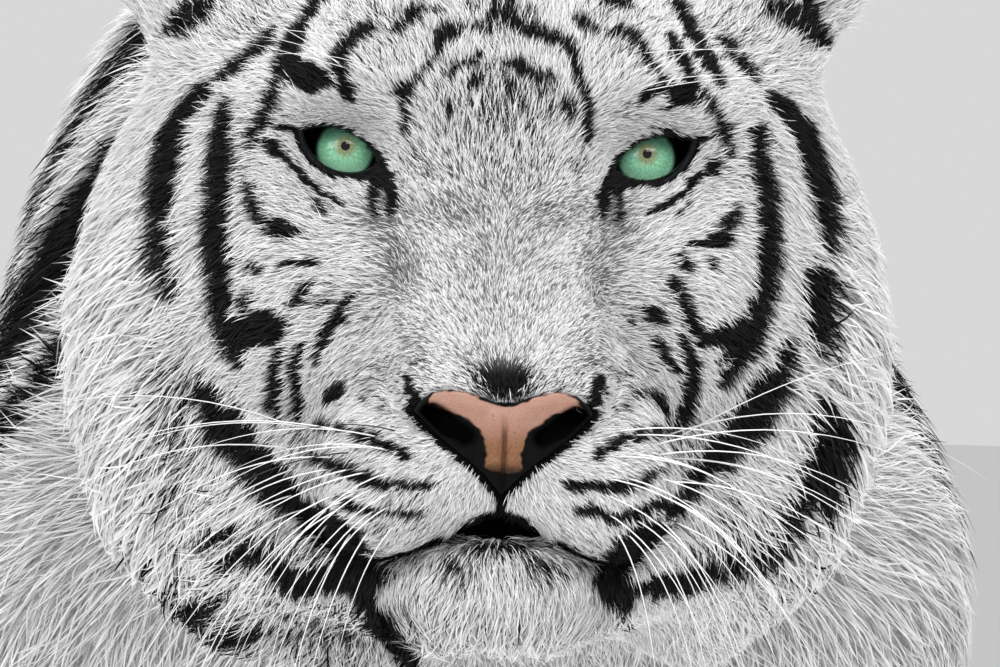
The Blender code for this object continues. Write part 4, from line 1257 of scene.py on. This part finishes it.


# how dark each tuft is: black in the markings, and a share of dark hairs where the face is grey, which are
# paler on the bridge of the nose
# where the face is grey the dark hairs are partly grey hair and partly painted shade
def hairColour(p, draw):
    shade = inChunks(mark, p)
    q = fromEyes(p)
    grey = faceGreyAndShade(q)
    _, w = frontView(q)
    onBridge = ease(0.002, -0.020, w) * ease(-0.092, -0.082, w)
    return np.where(shade > 0.5 + 0.22 * draw[0], 1, (draw[1] < grey) * (1 - 0.20 * onBridge))


# tufts as strips that narrow to a point: root + lie x length t + sideways x bend t squared, with each level
# set to its own height above the skin
def tufts(name, count, wanted, levels, finish, fine):
    root, normal = scatter(count, wanted)
    lay = lie(root, normal)
    cross = np.cross(normal.T, lay.T).T
    length = hairLength(root) * rng.uniform(*groom["longer"], count)
    heading = rng.normal(0, groom["heading"], count) + groom["wave"] * wobble(root, 0.02, 40)
    flow = lay * np.cos(heading) + cross * np.sin(heading)
    across = cross * np.cos(heading) - lay * np.sin(heading)
    roll = rng.normal(0, groom["roll"], count)
    edge = across * np.cos(roll) + normal * np.sin(roll)
    width = np.clip(length * groom["slim"] * fine, *groom["widths"]) * rng.uniform(*groom["wider"], count)
    rise = groom["rise"] * length * rng.uniform(*groom["higher"], count)
    bend = rng.normal(0, groom["bend"], count) * length
    ts = np.linspace(0, 1, levels + 1)
    rows = []
    for t in ts:
        centre = root + flow * (length * t) + across * (bend * t * t)
        if t > 0:
            height = rise * t * (1.5 - 0.5 * t) + groom["clear"]
            off = height - inChunks(skin, centre.astype(np.float32))
            centre = centre + normal * np.clip(off, -0.6 * length, 0.6 * length)
        else:
            centre = centre - normal * groom["sunk"]
        centre[2] = np.maximum(centre[2], 0.002)
        half = edge * (width / 2 * (1 - t) ** 0.7 * (0.75 + t))
        rows += [centre - half, centre + half] if t < 1 else [centre]
    verts = np.stack(rows, 1)  # 3, rows, count
    rowCount = verts.shape[1]
    verts = verts.transpose(2, 1, 0).reshape(-1, 3)
    base = np.arange(count)[:, None] * rowCount
    faces = []
    for level in range(levels - 1):
        a = 2 * level
        faces += [base + [a, a + 1, a + 3], base + [a, a + 3, a + 2]]
    faces.append(base + [rowCount - 3, rowCount - 2, rowCount - 1])
    faces = np.stack(faces, 1).reshape(-1, 3)
    draw = rng.uniform(-1, 1, count), rng.uniform(size=count)
    shows, starts = (
        hairColour((root + flow * (length * groom[key])).astype(np.float32), draw)
        for key in ("showsAt", "startsAt")
    )
    dark = shows * rng.uniform(0.975, 1, count) + (shows == 0) * rng.uniform(0, 0.06, count)
    rootRows = np.tile(np.arange(rowCount) < 2, count)
    paleRoot = np.repeat((shows > 0) & (starts == 0), rowCount)
    heights = np.r_[np.repeat(ts[:-1], 2), 1]
    numbers = {
        "dark": np.where(rootRows & paleRoot, 0.1, np.repeat(dark, rowCount)),
        "tone": np.repeat(rng.normal(0, 1, count), rowCount),
        "along": np.tile(heights, count),
    }
    obj = piece(name, verts, faces, finish, numbers=numbers)
    flat = unwrap(root).T[:, None, :]
    local = np.stack([np.r_[np.tile([0, 1], levels), 0.5], heights], 1) * groom["patch"]
    uv = (flat + local[None]).reshape(-1, 2)
    layer = obj.data.uv_layers.new(name="OFBake")
    layer.data.foreach_set("uv", uv[faces.ravel()].astype(np.float32).ravel())
    report(f"{name}, {len(faces)} triangles")


# both darker at the root than at the tip: painted shade deep in the coat
hairColours = {  # at the root and at the tip
    "white": ((0.40, 0.40, 0.40), (0.82, 0.82, 0.82)),
    "black": ((0.002, 0.002, 0.0022), (0.008, 0.008, 0.009)),
    "varied": 0.10,  # spread of lightness from tuft to tuft
}


# white hair and black hair, each darker at the root than at the tip as painted shade deep in the coat, and
# each tuft a little lighter or darker
def furFinish():
    fur = Finish("fur", Roughness=0.6, Specular_IOR_Level=0.0)
    dark, tone, along = fur.number("dark"), fur.number("tone"), fur.number("along")
    white = fur.mix(along.ease(0.0, 0.7), *hairColours["white"])
    black = fur.mix(along.ease(0.3, 1.0), *hairColours["black"])
    colour = fur.mix(dark, white, black)
    lighter = tone * hairColours["varied"] + 1
    scaled = fur.node("VectorMath", {"operation": "SCALE"}, {0: colour, "Scale": lighter})
    return fur.feed(Base_Color=scaled)


hideLook = {
    # the darker of each pair is painted shade between the hairs, the lighter is the hairs
    "white": ((0.36, 0.36, 0.36), (0.76, 0.76, 0.76)),  # between the hairs and on them
    "black": ((0.002, 0.002, 0.002), (0.007, 0.007, 0.008)),
    "whorl": (0, -0.045, -0.024),  # from between the pupils
    "streaks": 1500,  # scale of the noise of the hairs
    "clumps": 160,
}


# short hair drawn in the skin: fine streaks along the lie, which is away from a whorl on the head and
# backwards on the body, and shade between the hairs
def skinFinish():
    hide = Finish("skin", Roughness=0.75, Specular_IOR_Level=0.0)
    place, dark = hide.place(), hide.number("dark")
    whorl = tuple(eyeMid + shift + hideLook["whorl"])
    fromWhorl = hide.node("VectorMath", {"operation": "SUBTRACT"}, {0: place, 1: whorl})
    bearing = hide.node("VectorMath", {"operation": "NORMALIZE"}, {0: fromWhorl})
    radial = hide.node("VectorMath", {"operation": "SCALE"}, {0: bearing, "Scale": 0.12})
    slow = hide.node("VectorMath", {"operation": "SCALE"}, {0: fromWhorl, "Scale": 0.10})
    onHead = hide.node("VectorMath", {"operation": "ADD"}, {0: radial, 1: slow})
    onBody = hide.node("VectorMath", {"operation": "MULTIPLY"}, {0: place, 1: (1, 0.12, 1)})
    flow = hide.mix(hide.number("behind"), onHead, onBody)
    streak = hide.noise(flow, hideLook["streaks"], 2)
    clump = hide.noise(place, hideLook["clumps"], 3)
    light = (streak * 1.5 - 0.25) * 0.7 + clump * 0.3
    hairs = (dark + (streak - 0.5) * 0.6).ease(0.35, 0.65)
    white = hide.mix(light.ease(0.2, 0.8), *hideLook["white"])
    black = hide.mix(light, *hideLook["black"])
    return hide.feed(Base_Color=hide.mix(hairs, white, black), Normal=hide.bump(light, 0.0012, 0.8))


# one skin in place of the solids of flesh, dark where the coat over it is, painted shade included
def skinPiece():
    p = skinVerts.T.astype(np.float32)
    q = fromEyes(p)
    dark = np.maximum(inChunks(mark, p), 0.9 * faceGreyAndShade(q))
    numbers = {"dark": dark, "behind": ease(*regions["neck"], q[1])}
    piece("skin", skinVerts, skinQuads, skinFinish(), flesh, numbers)


skinPiece()
report("skin piece")


coatSets = {  # tufts in each set, strips along each tuft, and its width over the usual one
    "muzzle": (50000, 2, 1.0),
    "brow": (58000, 2, 0.75),
    "cheek": (38000, 3, 0.75),
    "collar": (58000, 2, 0.65),
    "front": (44000, 2, 0.9),
    "rear": (60000, 2, 0.9),
}
coatParts = {  # where one set ends and the next begins
    "short": 0.0085,  # length of the hair that the muzzle's set stops at
    "head": 0.165,  # behind the eyes
    "brow": -0.03,  # above the eyes
    "collar": (0.12, 0.50),  # its back along Y, and its lowest place
    "front": 0.30,  # along Y
}


# tufts in proportion to 1 / length^1.3, and none on bare skin; the sets of the face come in halves, left
# and right
def coat():
    finish = furFinish()
    p = skinVerts.T.astype(np.float32)
    q = fromEyes(p)
    s = folded(q)
    u, w = frontView(s)
    length = hairLength(p)
    soles = ease(0.004, 0.012, p[2])
    hidden = (fromOutline(u, w, noseOutline) < -0.0006 + 0.0017 * ease(-0.099, -0.106, w)) & (q[1] < -0.06)
    inEye = (almond(*eyePlane(s)) < 0.0012 + 0.0012 * (eyePlane(s)[1] < 0)) & (q[1] < 0.03)
    inMouth = (mouthGap(u, w) < 0) & (q[1] < 0)
    bare = soles * ~hidden * ~inEye * ~inMouth
    front = ease(coatParts["head"], 0.09, q[1])
    onHead = q[1] < coatParts["head"]
    short = length < coatParts["short"]
    left = q[0] > 0
    coverage = bare / length**1.3
    cheeks = coverage * (onHead & ~short) * (0.30 + 0.80 * front)
    low = q[2] <= coatParts["brow"]
    back, lowest = coatParts["collar"]
    collar = ~onHead & (p[1] < back) & (p[2] > lowest)
    rear = p[1] >= coatParts["front"]
    wanted = {
        "muzzle": coverage * (onHead & short),
        "brow": cheeks * ~low,
        "cheek": cheeks * low,
        "collar": coverage * collar,
        "front": coverage * (~onHead & ~collar & ~rear),
        "rear": coverage * (~onHead & rear),
    }
    halves = {"_left": left, "_right": ~left}
    for part, (count, levels, fine) in coatSets.items():
        for half, here in (halves if part in ("muzzle", "brow", "cheek") else {"": True}).items():
            tufts("coat_" + part + half, count, wanted[part] * here, levels, finish, fine)


coat()


# triangles of tubes, each of so many rings with a point at either end; points run tube by tube, ring by ring
def tubeFaces(tubes, rings, around):
    i, j = np.meshgrid(np.arange(rings - 1), np.arange(around), indexing="ij")
    a, b = i * around + j, i * around + (j + 1) % around
    walls = np.stack([a, b, b + around, a, b + around, a + around], -1).reshape(-1, 3)
    j = np.arange(around)
    k, last, first = (j + 1) % around, (rings - 1) * around, rings * around
    start = np.stack([k, j, np.full(around, first)], 1)
    end = np.stack([last + j, last + k, np.full(around, first + 1)], 1)
    one = np.concatenate([walls, start, end])
    return (np.arange(tubes)[:, None, None] * (rings * around + 2) + one).reshape(-1, 3)


# the places of tubes round these lines, each ring of its own radius, and then their two ends
def tubesRound(line, ahead, radius, around):
    one = unit(np.cross(ahead, [0.0, 0.3, 1.0]))
    two = np.cross(ahead, one)
    turn = np.linspace(0, 2 * np.pi, around, endpoint=False)[:, None]
    circle = one[:, :, None] * np.cos(turn) + two[:, :, None] * np.sin(turn)
    walls = (line[:, :, None] + radius[..., None] * circle).reshape(len(line), -1, 3)
    return np.concatenate([walls, line[:, :1], line[:, -1:]], 1)


iris = {
    "radius": 0.0123,
    "pupil": 0.0019,
    "pupilUp": 0.0016,  # from the middle of the iris
    "cornea": 0.0012,  # how far it stands out of the ball
    "corneaWidth": 0.42,  # in radians
    "bands": 110,
    "around": 120,
}


# a ball by its angle from the line of sight and the angle round it, with the cornea standing out as a bell
# curve of the first
def eyeballs(finish):
    rings, around = iris["bands"], iris["around"]
    away = np.linspace(0, np.pi, rings + 2)[1:-1, None]
    turn = np.linspace(0, 2 * np.pi, around, endpoint=False)[None]
    radius = stance["eyeRadius"] + iris["cornea"] * np.exp(-((away / iris["corneaWidth"]) ** 2))
    x, z = radius * np.sin(away) * np.cos(turn), radius * np.sin(away) * np.sin(turn)
    y = np.broadcast_to(-radius * np.cos(away), x.shape)
    poles = [[0, -stance["eyeRadius"] - iris["cornea"], 0], [0, stance["eyeRadius"], 0]]
    verts = np.concatenate([np.stack([x, y, z], -1).reshape(-1, 3), poles])
    numbers = {"across": verts[:, 0] * 1000, "upward": verts[:, 2] * 1000, "ahead": -verts[:, 1] * 1000}
    faces = tubeFaces(1, rings, around)[:, ::-1]
    for name, side in (("left", 1), ("right", -1)):
        home = eyeMid + [side * stance["eyeApart"] / 2, stance["eyeSetBack"], 0]
        piece(f"eyeball_{name}", verts + home, faces, finish, [f"eye_{name}"], numbers)


irisColours = {
    "green": ((0.180, 0.480, 0.290), (0.350, 0.740, 0.460)),
    "shaded": (0.100, 0.270, 0.180),  # under the upper lid
    # painted light: the lower iris lit brighter
    "bright": (0.440, 0.850, 0.540),  # at the bottom
    "fleck": (0.200, 0.600, 0.520),
    "speck": (0.030, 0.130, 0.080),
    "brown": ((0.180, 0.120, 0.040), (0.320, 0.270, 0.110)),
    "edge": (0.012, 0.040, 0.028),
    "ball": (0.003, 0.003, 0.003),
    "pupil": (0.001, 0.001, 0.001),
    "back": (0.30, 0.24, 0.22),  # of the ball, inside the head
}


# an iris of fine spokes: brown round the pupil, green, and dark at its edge, where the ball is black; painted
# shade at its top and painted light at its bottom
def eyeFinish():
    gloss = {"Coat_Weight": 1.0, "Coat_Roughness": 0.02, "Coat_IOR": 1.4}
    eye = Finish("eye_gloss", Roughness=0.22, Specular_IOR_Level=0.0, **gloss)
    x, z, ahead = eye.number("across"), eye.number("upward"), eye.number("ahead")
    ring = (x * x + z * z) ** 0.5 / (iris["radius"] * 1000)
    above = z - iris["pupilUp"] * 1000
    fromPupil = (x * x + above * above) ** 0.5
    spread = fromPupil + 0.3
    spokes = eye.node("CombineXYZ", None, {"X": x / spread, "Y": above / spread, "Z": fromPupil * 0.05})
    fibre = eye.noise(spokes, 13, 4)
    speck = eye.noise(eye.place(), 1300, 2)
    fleck = eye.noise(eye.place(), 420, 3)
    halo = 1 - (fromPupil + (fibre - 0.5) * 3).ease(2.2, 6.2)
    pupil = iris["pupil"] * 1000
    layers = {  # each over those before it
        # shaded is painted shade under the upper lid, bright is painted light on the lower iris
        "shaded": (z / 11).ease(-0.2, 0.9),
        "bright": (z * -1 / 11).ease(0.1, 0.9) * 0.6,
        "fleck": fleck.ease(0.52, 0.62) * 0.35,
        "speck": speck.ease(0.60, 0.72) * 0.55,
        "brown": halo * 0.8,
        "edge": (ring + (fibre - 0.5) * 0.05).ease(0.84, 0.99),
        "ball": ring.ease(0.97, 1.01),
        "pupil": fromPupil.ease(pupil + 0.15, pupil - 0.15),
        "back": ahead.ease(0, -2),
    }
    paints = dict(irisColours, brown=eye.mix(fibre.ease(0.35, 0.65), *irisColours["brown"]))
    colour = eye.mix(fibre.ease(0.30, 0.70), *irisColours["green"])
    for key, factor in layers.items():
        colour = eye.mix(factor, colour, paints[key])
    return eye.feed(Base_Color=colour)


eyeballs(eyeFinish())
report("eyeballs")


lidRim = {
    "around": 140,
    "rows": 8,
    "tuck": 0.0004,  # how far its inner edge is inside the opening
    "outer": {"halfLength": 0.0200, "above": 0.0096, "below": 0.0122, "middle": -0.0004},
    "height": 0.0006,
    "black": ((0.003, 0.003, 0.004), (0.010, 0.010, 0.012)),
}


# a place on the outline of an almond: the cosine gives the way along, one of two circular arcs the height
def almondEdge(turn, halfLength, above, below):
    a = halfLength * np.cos(turn)
    rise = np.where(np.sin(turn) > 0, above, below)
    circle = (halfLength**2 + rise**2) / (2 * rise)
    return a, np.sign(np.sin(turn)) * (np.sqrt(np.maximum(circle**2 - a**2, 0)) + rise - circle)


# the black bare rim of the lids: a closed band from the ball to the fur, rounded over the lid's edge
def lidRims(finish):
    turn = np.linspace(0, 2 * np.pi, lidRim["around"], endpoint=False)
    rows = lidRim["rows"]
    across = np.linspace(0, 1, rows)[:, None]
    a0, b0 = almondEdge(turn, *(eyeShape[key] - lidRim["tuck"] for key in ("halfLength", "above", "below")))
    outer = dict(lidRim["outer"])
    slide = outer.pop("middle")
    a1, b1 = almondEdge(turn, **outer)
    a = a0 + (a1 + slide - a0) * across + eyeShape["middle"]
    b = b0 + (b1 - b0) * across
    tilt = math.radians(eyeShape["tilt"])
    x = a * math.cos(tilt) - b * math.sin(tilt) + stance["eyeApart"] / 2
    z = a * math.sin(tilt) + b * math.cos(tilt)
    flat = np.stack([x, np.full(x.shape, -0.004), z], -1).reshape(-1, 3) + eyeMid
    height = lidRim["height"] * np.sin(np.pi * np.repeat(across[:, 0], lidRim["around"]) ** 0.8)
    top = seen(covered, flat, height).reshape(rows, -1, 3)
    home = eyeMid + [stance["eyeApart"] / 2, stance["eyeSetBack"], 0]
    reach = top[0] - home
    onBall = np.sqrt(np.maximum((stance["eyeRadius"] - 0.0002) ** 2 - reach[:, 0] ** 2 - reach[:, 2] ** 2, 0))
    first = np.stack([top[0, :, 0], home[1] - onBall, top[0, :, 2]], 1)
    below = top[-1] + [0, 0.0030, 0]
    middle = (first + below) / 2 + [0, 0.0030, 0]
    band = np.stack([first, *top, below, middle])
    count, around = len(band), lidRim["around"]
    i, j = np.meshgrid(np.arange(count), np.arange(around), indexing="ij")
    k, n = (j + 1) % around, (i + 1) % count
    quads = np.stack([i * around + j, n * around + j, n * around + k, i * around + k], -1).reshape(-1, 4)
    band = band.reshape(-1, 3)
    piece("lid_rim_left", band, quads, finish)
    piece("lid_rim_right", band * [-1, 1, 1], quads[:, ::-1], finish)


# where lines along Y through these places first meet the surface from the front, or a height above it
def seen(field, verts, height=0):
    p = verts.T.astype(np.float32)
    ahead = np.linspace(-0.65, -0.31, 120).astype(np.float32)
    every = np.repeat(p[:, :, None], len(ahead), 2)
    every[1] = ahead
    values = inChunks(field, every.reshape(3, -1)).reshape(every.shape[1:]) - np.reshape(height, (-1, 1))
    first = np.argmax(values < 0, 1)
    low, high = ahead[np.maximum(first - 1, 0)], ahead[first]
    for _ in range(12):
        p[1] = (low + high) / 2
        within = field(p) < height
        low, high = np.where(within, low, p[1]), np.where(within, p[1], high)
    return p.T.astype(np.float64)


# black with a slight wet gloss and fine wrinkles
def rimFinish():
    rim = Finish("lid_black", Roughness=0.3, Coat_Weight=0.08, Coat_Roughness=0.15, Specular_IOR_Level=0.05)
    wrinkles = rim.noise(rim.place(), 700, 3)
    tone = rim.mix(wrinkles, *lidRim["black"])
    return rim.feed(Base_Color=tone, Normal=rim.bump(wrinkles, 0.0005, 0.6))


lidRims(rimFinish())
report("lid rims")


nose = {
    "proud": 0.0022,  # below the tips of the coat
    "thick": 0.013,
    "step": 0.0008,
    "nostril": [(0.0160, -0.1172), (0.0225, -0.1128), (0.0300, -0.1088)],
    "nostrilWidth": 0.0044,
    "nostrilDepth": 0.0105,
    "ridges": [  # height, width, points on one side
        (0.0026, 0.0055, [(0.012, -0.1035), (0.022, -0.1010), (0.030, -0.1035)]),  # over the nostril
        (0.0016, 0.0030, [(0.034, -0.107), (0.027, -0.118), (0.018, -0.124)]),  # outside it
        (0.0014, 0.0050, [(0.0045, -0.110), (0.0050, -0.130)]),  # beside the groove
    ],
    "groove": (0.0016, 0.0011),  # depth and width
    "border": 0.0014,  # left between a nostril and the outline
    "pink": [  # one side of the pink part, in millimetres
        (0, -104.7), (6, -103.5), (12, -100.5), (19, -98.5), (25, -98.4), (29.5, -100.4), (32.4, -104.8),
        (26, -106), (21, -107.2), (16.5, -109.8), (11, -114), (8, -119), (7, -123.7), (7.5, -127),
        (7.4, -130), (4, -132), (0, -132.5),
    ],
}


# the leather: the head's own form less each ridge's height x exp(-(distance/width)^2), with a groove down the
# middle and two carved nostrils, kept inside its outline
def noseForm(p):
    q = fromEyes(p)
    s = folded(q)
    u, w = frontView(s)
    f = head(q) + nose["proud"]
    for height, width, points in nose["ridges"]:
        d, _ = pathDistance(u, w, points)
        f -= height * np.exp(-((d / width) ** 2))
    deep, wide = nose["groove"]
    f += deep * np.exp(-((u / wide) ** 2)) * ease(-0.107, -0.114, w)
    d, _ = pathDistance(u, w, nose["nostril"])
    edge = fromOutline(u, w, noseOutline)
    wide = nose["nostrilWidth"] * (0.70 + 0.42 * ease(0.018, 0.026, u))
    hole = np.maximum(d - wide, -nose["nostrilDepth"] - f)
    f = smoothMax(f, -np.maximum(hole, edge + nose["border"]), 0.0030)
    f = smoothMax(f, edge, 0.0020)
    return np.maximum(f, -nose["thick"] - (head(q) + nose["proud"]))


# the surface net of that form, with numbers for where it is pink, low, hollow or near the middle
def nosePiece():
    step = nose["step"]
    ranges = (-0.0396, 0.0400), (-0.165, -0.070), (-0.1465, -0.0925)
    axes = [np.arange(low, high, step, dtype=np.float32) + c for (low, high), c in zip(ranges, eyeMid)]
    places = np.stack(np.meshgrid(*axes, indexing="ij")).astype(np.float32)
    verts, quads = surfaceNet(noseForm, places)
    verts = settled(noseForm, verts, 0.0006)
    q = fromEyes(verts.T.astype(np.float32))
    u, w = frontView(folded(q))
    d, _ = pathDistance(u, w, nose["nostril"])
    numbers = {
        "pink": -1000 * fromOutline(u, w, nose["pink"]) + 0.5 * wobble(q, 0.004, 50),
        "low": ease(-0.104, -0.134, w),
        "hole": ease(0.0065, 0.0035, d),
        "middle": 1000 * u,
    }
    piece("nose_leather", verts, quads, noseFinish(), ["nose"], numbers)


noseColours = {
    "upper": ((0.315, 0.172, 0.130), (0.390, 0.232, 0.180)),
    "lower": ((0.150, 0.066, 0.024), (0.205, 0.098, 0.040)),
    "cell": (0.36, 0.14, 0.08),
    # painted shade in the groove down the middle
    "groove": (0.08, 0.035, 0.02),
    "blotch": (0.12, 0.05, 0.03),
    "black": ((0.002, 0.002, 0.002), (0.007, 0.006, 0.006)),
    # painted shade inside the nostrils
    "hole": (0.001, 0.001, 0.001),
}


# pink above and browner below, in fine cells, black outside the pink part, and painted shade in the middle
# groove and the nostrils
def noseFinish():
    leather = Finish("nose_leather", Coat_Roughness=0.42, Specular_IOR_Level=0.06)
    place = leather.place()
    pink, low, hole, middle = (leather.number(key) for key in ("pink", "low", "hole", "middle"))
    cells = leather.node("TexVoronoi", None, {"Vector": place, "Scale": 950}, "Distance")
    soft = leather.noise(place, 260, 4)
    upper, lower, black = (leather.mix(soft, *noseColours[key]) for key in ("upper", "lower", "black"))
    # painted shade down the middle groove
    groove = middle.ease(1.3, 0.3) * low.ease(0.15, 0.4)
    blotch = leather.noise(place, 130, 2).ease(0.66, 0.70)
    bright = (pink + (soft - 0.5) * 1.2).ease(-0.5, 0.7) * (1 - low.ease(0.86, 1.0) * 0.8)
    colour = leather.mix(low.ease(0.05, 0.70), upper, lower)
    colour = leather.mix((cells * 0.8).ease(0.25, 0.6) * 0.35, colour, noseColours["cell"])
    colour = leather.mix(groove * 0.85, colour, noseColours["groove"])
    colour = leather.mix(blotch * 0.6, colour, noseColours["blotch"])
    colour = leather.mix(bright, black, colour)
    # painted shade inside the nostrils
    colour = leather.mix(hole, colour, noseColours["hole"])
    height = cells * -0.6 + soft * 0.5
    roughness = 0.85 - bright * 0.43
    return leather.feed(Base_Color=colour, Roughness=roughness, Coat_Weight=bright * 0.45,
                        Normal=leather.bump(height, 0.0007, 0.7))


nosePiece()
report("nose leather")


whisker = {
    "rings": 14,
    "around": 5,
    "radius": 0.00036,
    "rows": [-0.114, -0.121, -0.129, -0.137, -0.145, -0.152],  # heights on the muzzle
    "places": (0.043, 0.052, 0.061, 0.069, 0.077),  # from the middle
    "length": (0.105, 0.175),
    "tip": 0.252,  # the furthest a tip is from the middle
    "droop": (-14, 11, 6),  # of the top row, more with each row, and spread, in degrees
    "dark": 0.06,  # share that are black
    "brow": 5,  # over each eye
    "browLength": (0.055, 0.085),
    "browRadius": 0.6,  # over that of the others
    "white": ((0.80, 0.80, 0.79), (0.93, 0.93, 0.92)),
    "black": (0.01, 0.01, 0.01),
}


# tubes that narrow from root to tip along curves with one bend: root + heading t + bend t squared
def whiskers(finish):
    roots, headings, bends, lengths, dark, thick = [], [], [], [], [], []
    first, more, spread = whisker["droop"]
    for side in (1, -1):
        for row, height in enumerate(whisker["rows"]):
            for out in whisker["places"]:
                u = out + rng.uniform(-0.003, 0.003)
                w = height - 0.10 * (out - 0.04) + rng.uniform(-0.002, 0.002)
                droop = math.radians(first + more * row + rng.normal(0, spread))
                length = rng.uniform(*whisker["length"]) * (1 - 0.07 * row) * (0.62 + 11 * (out - 0.038))
                roots.append((side * u, 0, w))
                headings.append((side * math.cos(droop), -0.42 + 0.1 * rng.normal(), -math.sin(droop)))
                bends.append((side * -0.04 * row, 0.42, -0.34 - 0.08 * row + 0.08 * rng.normal()))
                lengths.append(length)
                dark.append(rng.uniform() < whisker["dark"])
                thick.append(1)
        for _ in range(whisker["brow"]):
            roots.append((side * rng.uniform(0.045, 0.066), 0, rng.uniform(0.026, 0.046)))
            headings.append((side * rng.uniform(0.5, 1.0), -0.40, rng.uniform(0.1, 0.7)))
            bends.append((side * 0.15, 0.35, rng.uniform(-0.35, 0.0)))
            thick.append(whisker["browRadius"])
            lengths.append(rng.uniform(*whisker["browLength"]))
            dark.append(False)
    root, heading, bend = (np.array(values) for values in (roots, headings, bends))
    heading, length = unit(heading), np.array(lengths)[:, None]
    root = seen(skin, root + eyeMid) - heading * 0.002
    out = np.abs(root[:, :1])
    reach = np.abs(root[:, :1] + (heading + bend)[:, :1] * length)
    length = length * np.minimum(1, (whisker["tip"] - out) / np.maximum(reach - out, 1e-3))
    rings, around = whisker["rings"], whisker["around"]
    t = np.linspace(0, 1, rings)[None, :, None]
    line = root[:, None] + length[:, None] * (heading[:, None] * t + bend[:, None] * t * t)
    ahead = unit(heading[:, None] + 2 * bend[:, None] * t)
    radius = whisker["radius"] * np.array(thick)[:, None, None] * (1 - 0.88 * t)
    tube = tubesRound(line, ahead, radius, around)
    verts = tube.reshape(-1, 3)
    numbers = {"dark": np.repeat(np.array(dark, float), tube.shape[1])}
    piece("whiskers", verts, tubeFaces(len(root), rings, around), finish, numbers=numbers)


# white, and black where a whisker is dark
def whiskerFinish():
    hair = Finish("whisker", Roughness=0.35)
    grain = hair.noise(hair.place(), 300, 2)
    white = hair.mix(grain, *whisker["white"])
    return hair.feed(Base_Color=hair.mix(hair.number("dark"), white, whisker["black"]))


whiskers(whiskerFinish())
report("whiskers")


claw = {
    "rings": 9,
    "around": 10,
    "radius": 0.0040,
    "length": 0.027,
    "height": 0.037,  # of its root, which is inside the toe
    "inside": 0.32,  # the root ahead of the middle of the toe, over the half length of the paw
    "heading": (0, -1, -0.20),
    "bend": (0, 0.20, -0.78),
    "flat": 0.7,  # width over depth
    "horn": ((0.30, 0.25, 0.21), (0.42, 0.36, 0.31)),
    "tip": (0.62, 0.58, 0.52),
}


# a claw at the front of each toe: a tube that narrows along a line with one bend, flattened sideways
def claws(finish):
    roots = []
    for side in (1, -1):
        for kind in ("fore", "hind"):
            out, along, halfWidth, halfLength, _ = pawShape[kind]
            middle = along + stance[kind + "Step"][side] - (0.70 + claw["inside"]) * halfLength
            roots += [(side * out + spread * halfWidth, middle + reach, claw["height"])
                      for spread, reach in pawShape["toes"]]
    root = np.array(roots)[:, None]
    heading, bend = np.array(claw["heading"]), np.array(claw["bend"])
    t = np.linspace(0, 1, claw["rings"])[None, :, None]
    line = root + claw["length"] * (heading * t + bend * t * t)
    ahead = unit(heading + 2 * bend * t) + 0 * line
    radius = claw["radius"] * (1 - 0.86 * t**1.4) + 0 * line[..., :1]
    tube = tubesRound(line, ahead, radius, claw["around"])
    tube[..., 0] = root[..., 0] + claw["flat"] * (tube[..., 0] - root[..., 0])
    heights = np.r_[np.repeat(t.ravel(), claw["around"]), 0, 1]
    faces = tubeFaces(len(root), claw["rings"], claw["around"])
    numbers = {"along": np.tile(heights, len(root))}
    piece("claws", tube.reshape(-1, 3), faces, finish, numbers=numbers)


# horn that pales towards the tip
def clawFinish():
    horn = Finish("claw_horn", Roughness=0.35)
    grain = horn.noise(horn.place(), 500, 3)
    base = horn.mix(grain, *claw["horn"])
    return horn.feed(Base_Color=horn.mix(horn.number("along").ease(0.3, 1.0), base, claw["tip"]))


claws(clawFinish())
report("claws")


room = {
    "reach": 60,  # of the floor, each way
    "floor": (0.80, 0.80, 0.80, 1),
    "air": (0.95, 0.95, 0.95, 1),
    "strength": 0.72,
}


# a pale floor without end and an even pale room
def setting():
    far = room["reach"]
    mesh = bpy.data.meshes.new("floor")
    mesh.from_pydata([(-far, -far, 0), (far, -far, 0), (far, far, 0), (-far, far, 0)], [], [(0, 1, 2, 3)])
    floor = bpy.data.objects.new("floor", mesh)
    mesh.materials.append(Finish("floor_paint", Base_Color=room["floor"], Roughness=0.9).material)
    bpy.context.scene.collection.objects.link(floor)
    world = bpy.data.worlds.new("pale_room")
    world.use_nodes = True
    background = world.node_tree.nodes["Background"]
    background.inputs["Color"].default_value = room["air"]
    background.inputs["Strength"].default_value = room["strength"]
    bpy.context.scene.world = world
    bpy.context.scene.view_settings.view_transform = "Standard"


softboxes = {  # place from the point between the eyes, size, watts
    "key": ((0.7, -2.3, 1.7), 1.4, 44),
    "fill": ((-1.6, -2.0, 0.9), 1.4, 26),
    "top": ((0.0, 0.6, 2.6), 2.0, 40),
    "back_left": ((2.4, 3.2, 1.6), 1.8, 45),
    "back_right": ((-2.4, 3.2, 1.6), 1.8, 45),
}


# a square lamp that faces the head, or the body where it stands behind
def light(name, place, size, watts):
    lamp = bpy.data.lights.new(name, "AREA")
    lamp.size, lamp.energy = size, watts
    obj = bpy.data.objects.new(name, lamp)
    bpy.context.scene.collection.objects.link(obj)
    target = eyeMid + shift + [0, 0.9 if place[1] > 0 else 0.05, -0.1]
    obj.location = eyeMid + shift + place
    obj.rotation_euler = (Vector(target) - obj.location).to_track_quat("-Z", "Y").to_euler()


# a lens as long as gives "width" at the eyes on a sensor of 36 mm
def camera():
    lens = bpy.data.cameras.new("camera")
    lens.sensor_width = 36
    lens.lens = lens.sensor_width * lookFrom["away"] / lookFrom["width"]
    obj = bpy.data.objects.new("camera", lens)
    bpy.context.scene.collection.objects.link(obj)
    turn = turnMatrix(lookFrom["turn"]).T
    obj.location = eyeMid + shift + turn @ [lookFrom["aside"], -lookFrom["away"], -lookFrom["drop"]]
    obj.rotation_euler = Matrix((turn @ turnMatrix((90, 0, 0))).tolist()).to_euler()
    bpy.context.scene.camera = obj


setting()
for name, (place, size, watts) in softboxes.items():
    light(name, place, size, watts)
camera()
report("floor, light and camera")
